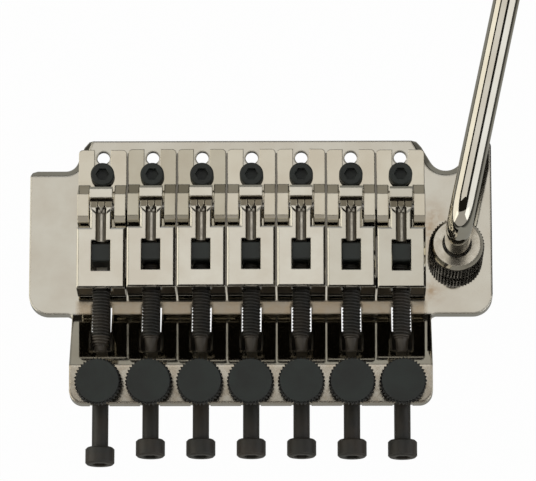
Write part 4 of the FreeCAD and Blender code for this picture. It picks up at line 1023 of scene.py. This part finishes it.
def leaning(right_arc, ahead_arc):
    """The direction to the middle of an arc to the right and an arc ahead."""
    right, ahead = (math.radians(sum(arc) / 2) for arc in (right_arc, ahead_arc))
    return Vector((math.tan(right), math.tan(ahead), 1.0)).normalized()


def spread(arc):
    """How wide a panel is that covers an arc."""
    return 2 * TENT * math.tan(math.radians(arc[1] - arc[0]) / 2)


def panel(name, direction, across, along, level, colour, shift=0.0):
    """A soft rectangle that faces the bridge from the tent; level is its brightness in a mirror."""
    lamp = bpy.data.lights.new(name, "AREA")
    lamp.shape = "RECTANGLE"
    lamp.size = across
    lamp.size_y = along
    lamp.energy = level * math.pi * across * along
    lamp.color = colour
    light = bpy.data.objects.new(name, lamp)
    bpy.context.scene.collection.objects.link(light)
    stand = CENTRE + direction * TENT + Vector((0.0, shift, 0.0))
    light.matrix_world = Matrix.Translation(stand) @ turned_to(direction)
    light.visible_camera = False


roof, overhead, front = spread(ROOF_ARC), spread(OVERHEAD_ARC), spread(FRONT_ARC)
panel("overhead_panel", leaning(ROOF_ARC, OVERHEAD_ARC), roof, overhead, level=0.86, colour=SOFT_WHITE)
panel("front_panel", leaning(ROOF_ARC, FRONT_ARC), roof, front, level=0.45, colour=COOL_WHITE)
rear, left, right = spread(REAR_ARC), spread(LEFT_ARC), spread(RIGHT_ARC)
panel("rear_panel", leaning(STRAIGHT, REAR_ARC), REAR_WIDTH, rear, level=0.42, colour=WARM_WHITE)
panel("left_panel", leaning(LEFT_ARC, STRAIGHT), left, LEFT_LENGTH, level=1.2, colour=CREAM)
panel(
    "right_panel", leaning(RIGHT_ARC, STRAIGHT), right, RIGHT_LENGTH, level=1.12, colour=COOL_WHITE,
    shift=RIGHT_SHIFT,
)
print("panels at", TENT, "m, the one overhead", round(roof, 2), "x", round(overhead, 2), "m")

# %% [markdown]
# Between the panels the metal sees the world. It is nearly black there, as a darkened studio is, and
# white where the camera looks straight at it.

# %% World
GAP_DARK = (0.014, 0.013, 0.011, 1.0)

world = bpy.data.worlds.new("dark_studio")
bpy.context.scene.world = world
world.use_nodes = True
bench = Bench(world.node_tree)
dim = bench.node("ShaderNodeBackground", inputs={"Color": GAP_DARK, "Strength": 1.0})
white = bench.node("ShaderNodeBackground", inputs={"Color": WHITE, "Strength": 1.0})
camera_ray = bench.node("ShaderNodeLightPath", output="Is Camera Ray")
sky = bench.node("ShaderNodeMixShader", inputs={0: camera_ray, 1: dim, 2: white})
bench.tree.links.new(sky.socket, bench.tree.nodes["World Output"].inputs["Surface"])
print("the gaps between the panels are as dark as", GAP_DARK[:3])

# %% [markdown]
# ## The camera
# The photograph was taken from almost straight above with a long lens. The tilt, the distance and the
# lens were worked out from measured points on the screws, saddles and plate edges.

# %% Camera
TILT = math.radians(13.91)
TURN = math.radians(2.181)
DISTANCE = 0.9908
TARGET = Vector((3.504, -15.46, 0.0)) * MM
LENS_MM = 308.23
SENSOR_MM = 36.0

camera_data = bpy.data.cameras.new("camera")
camera_data.sensor_fit = "HORIZONTAL"
camera_data.sensor_width = SENSOR_MM
camera_data.lens = LENS_MM
camera = bpy.data.objects.new("camera", camera_data)
bpy.context.scene.collection.objects.link(camera)
back = Vector((math.sin(TURN) * math.sin(TILT), -math.cos(TURN) * math.sin(TILT), math.cos(TILT)))
camera.matrix_world = Matrix.Translation(TARGET + back * DISTANCE) @ turned_to(back)
bpy.context.scene.camera = camera
bpy.context.scene.view_settings.view_transform = "Standard"
print("camera at", [round(c, 3) for c in camera.location])
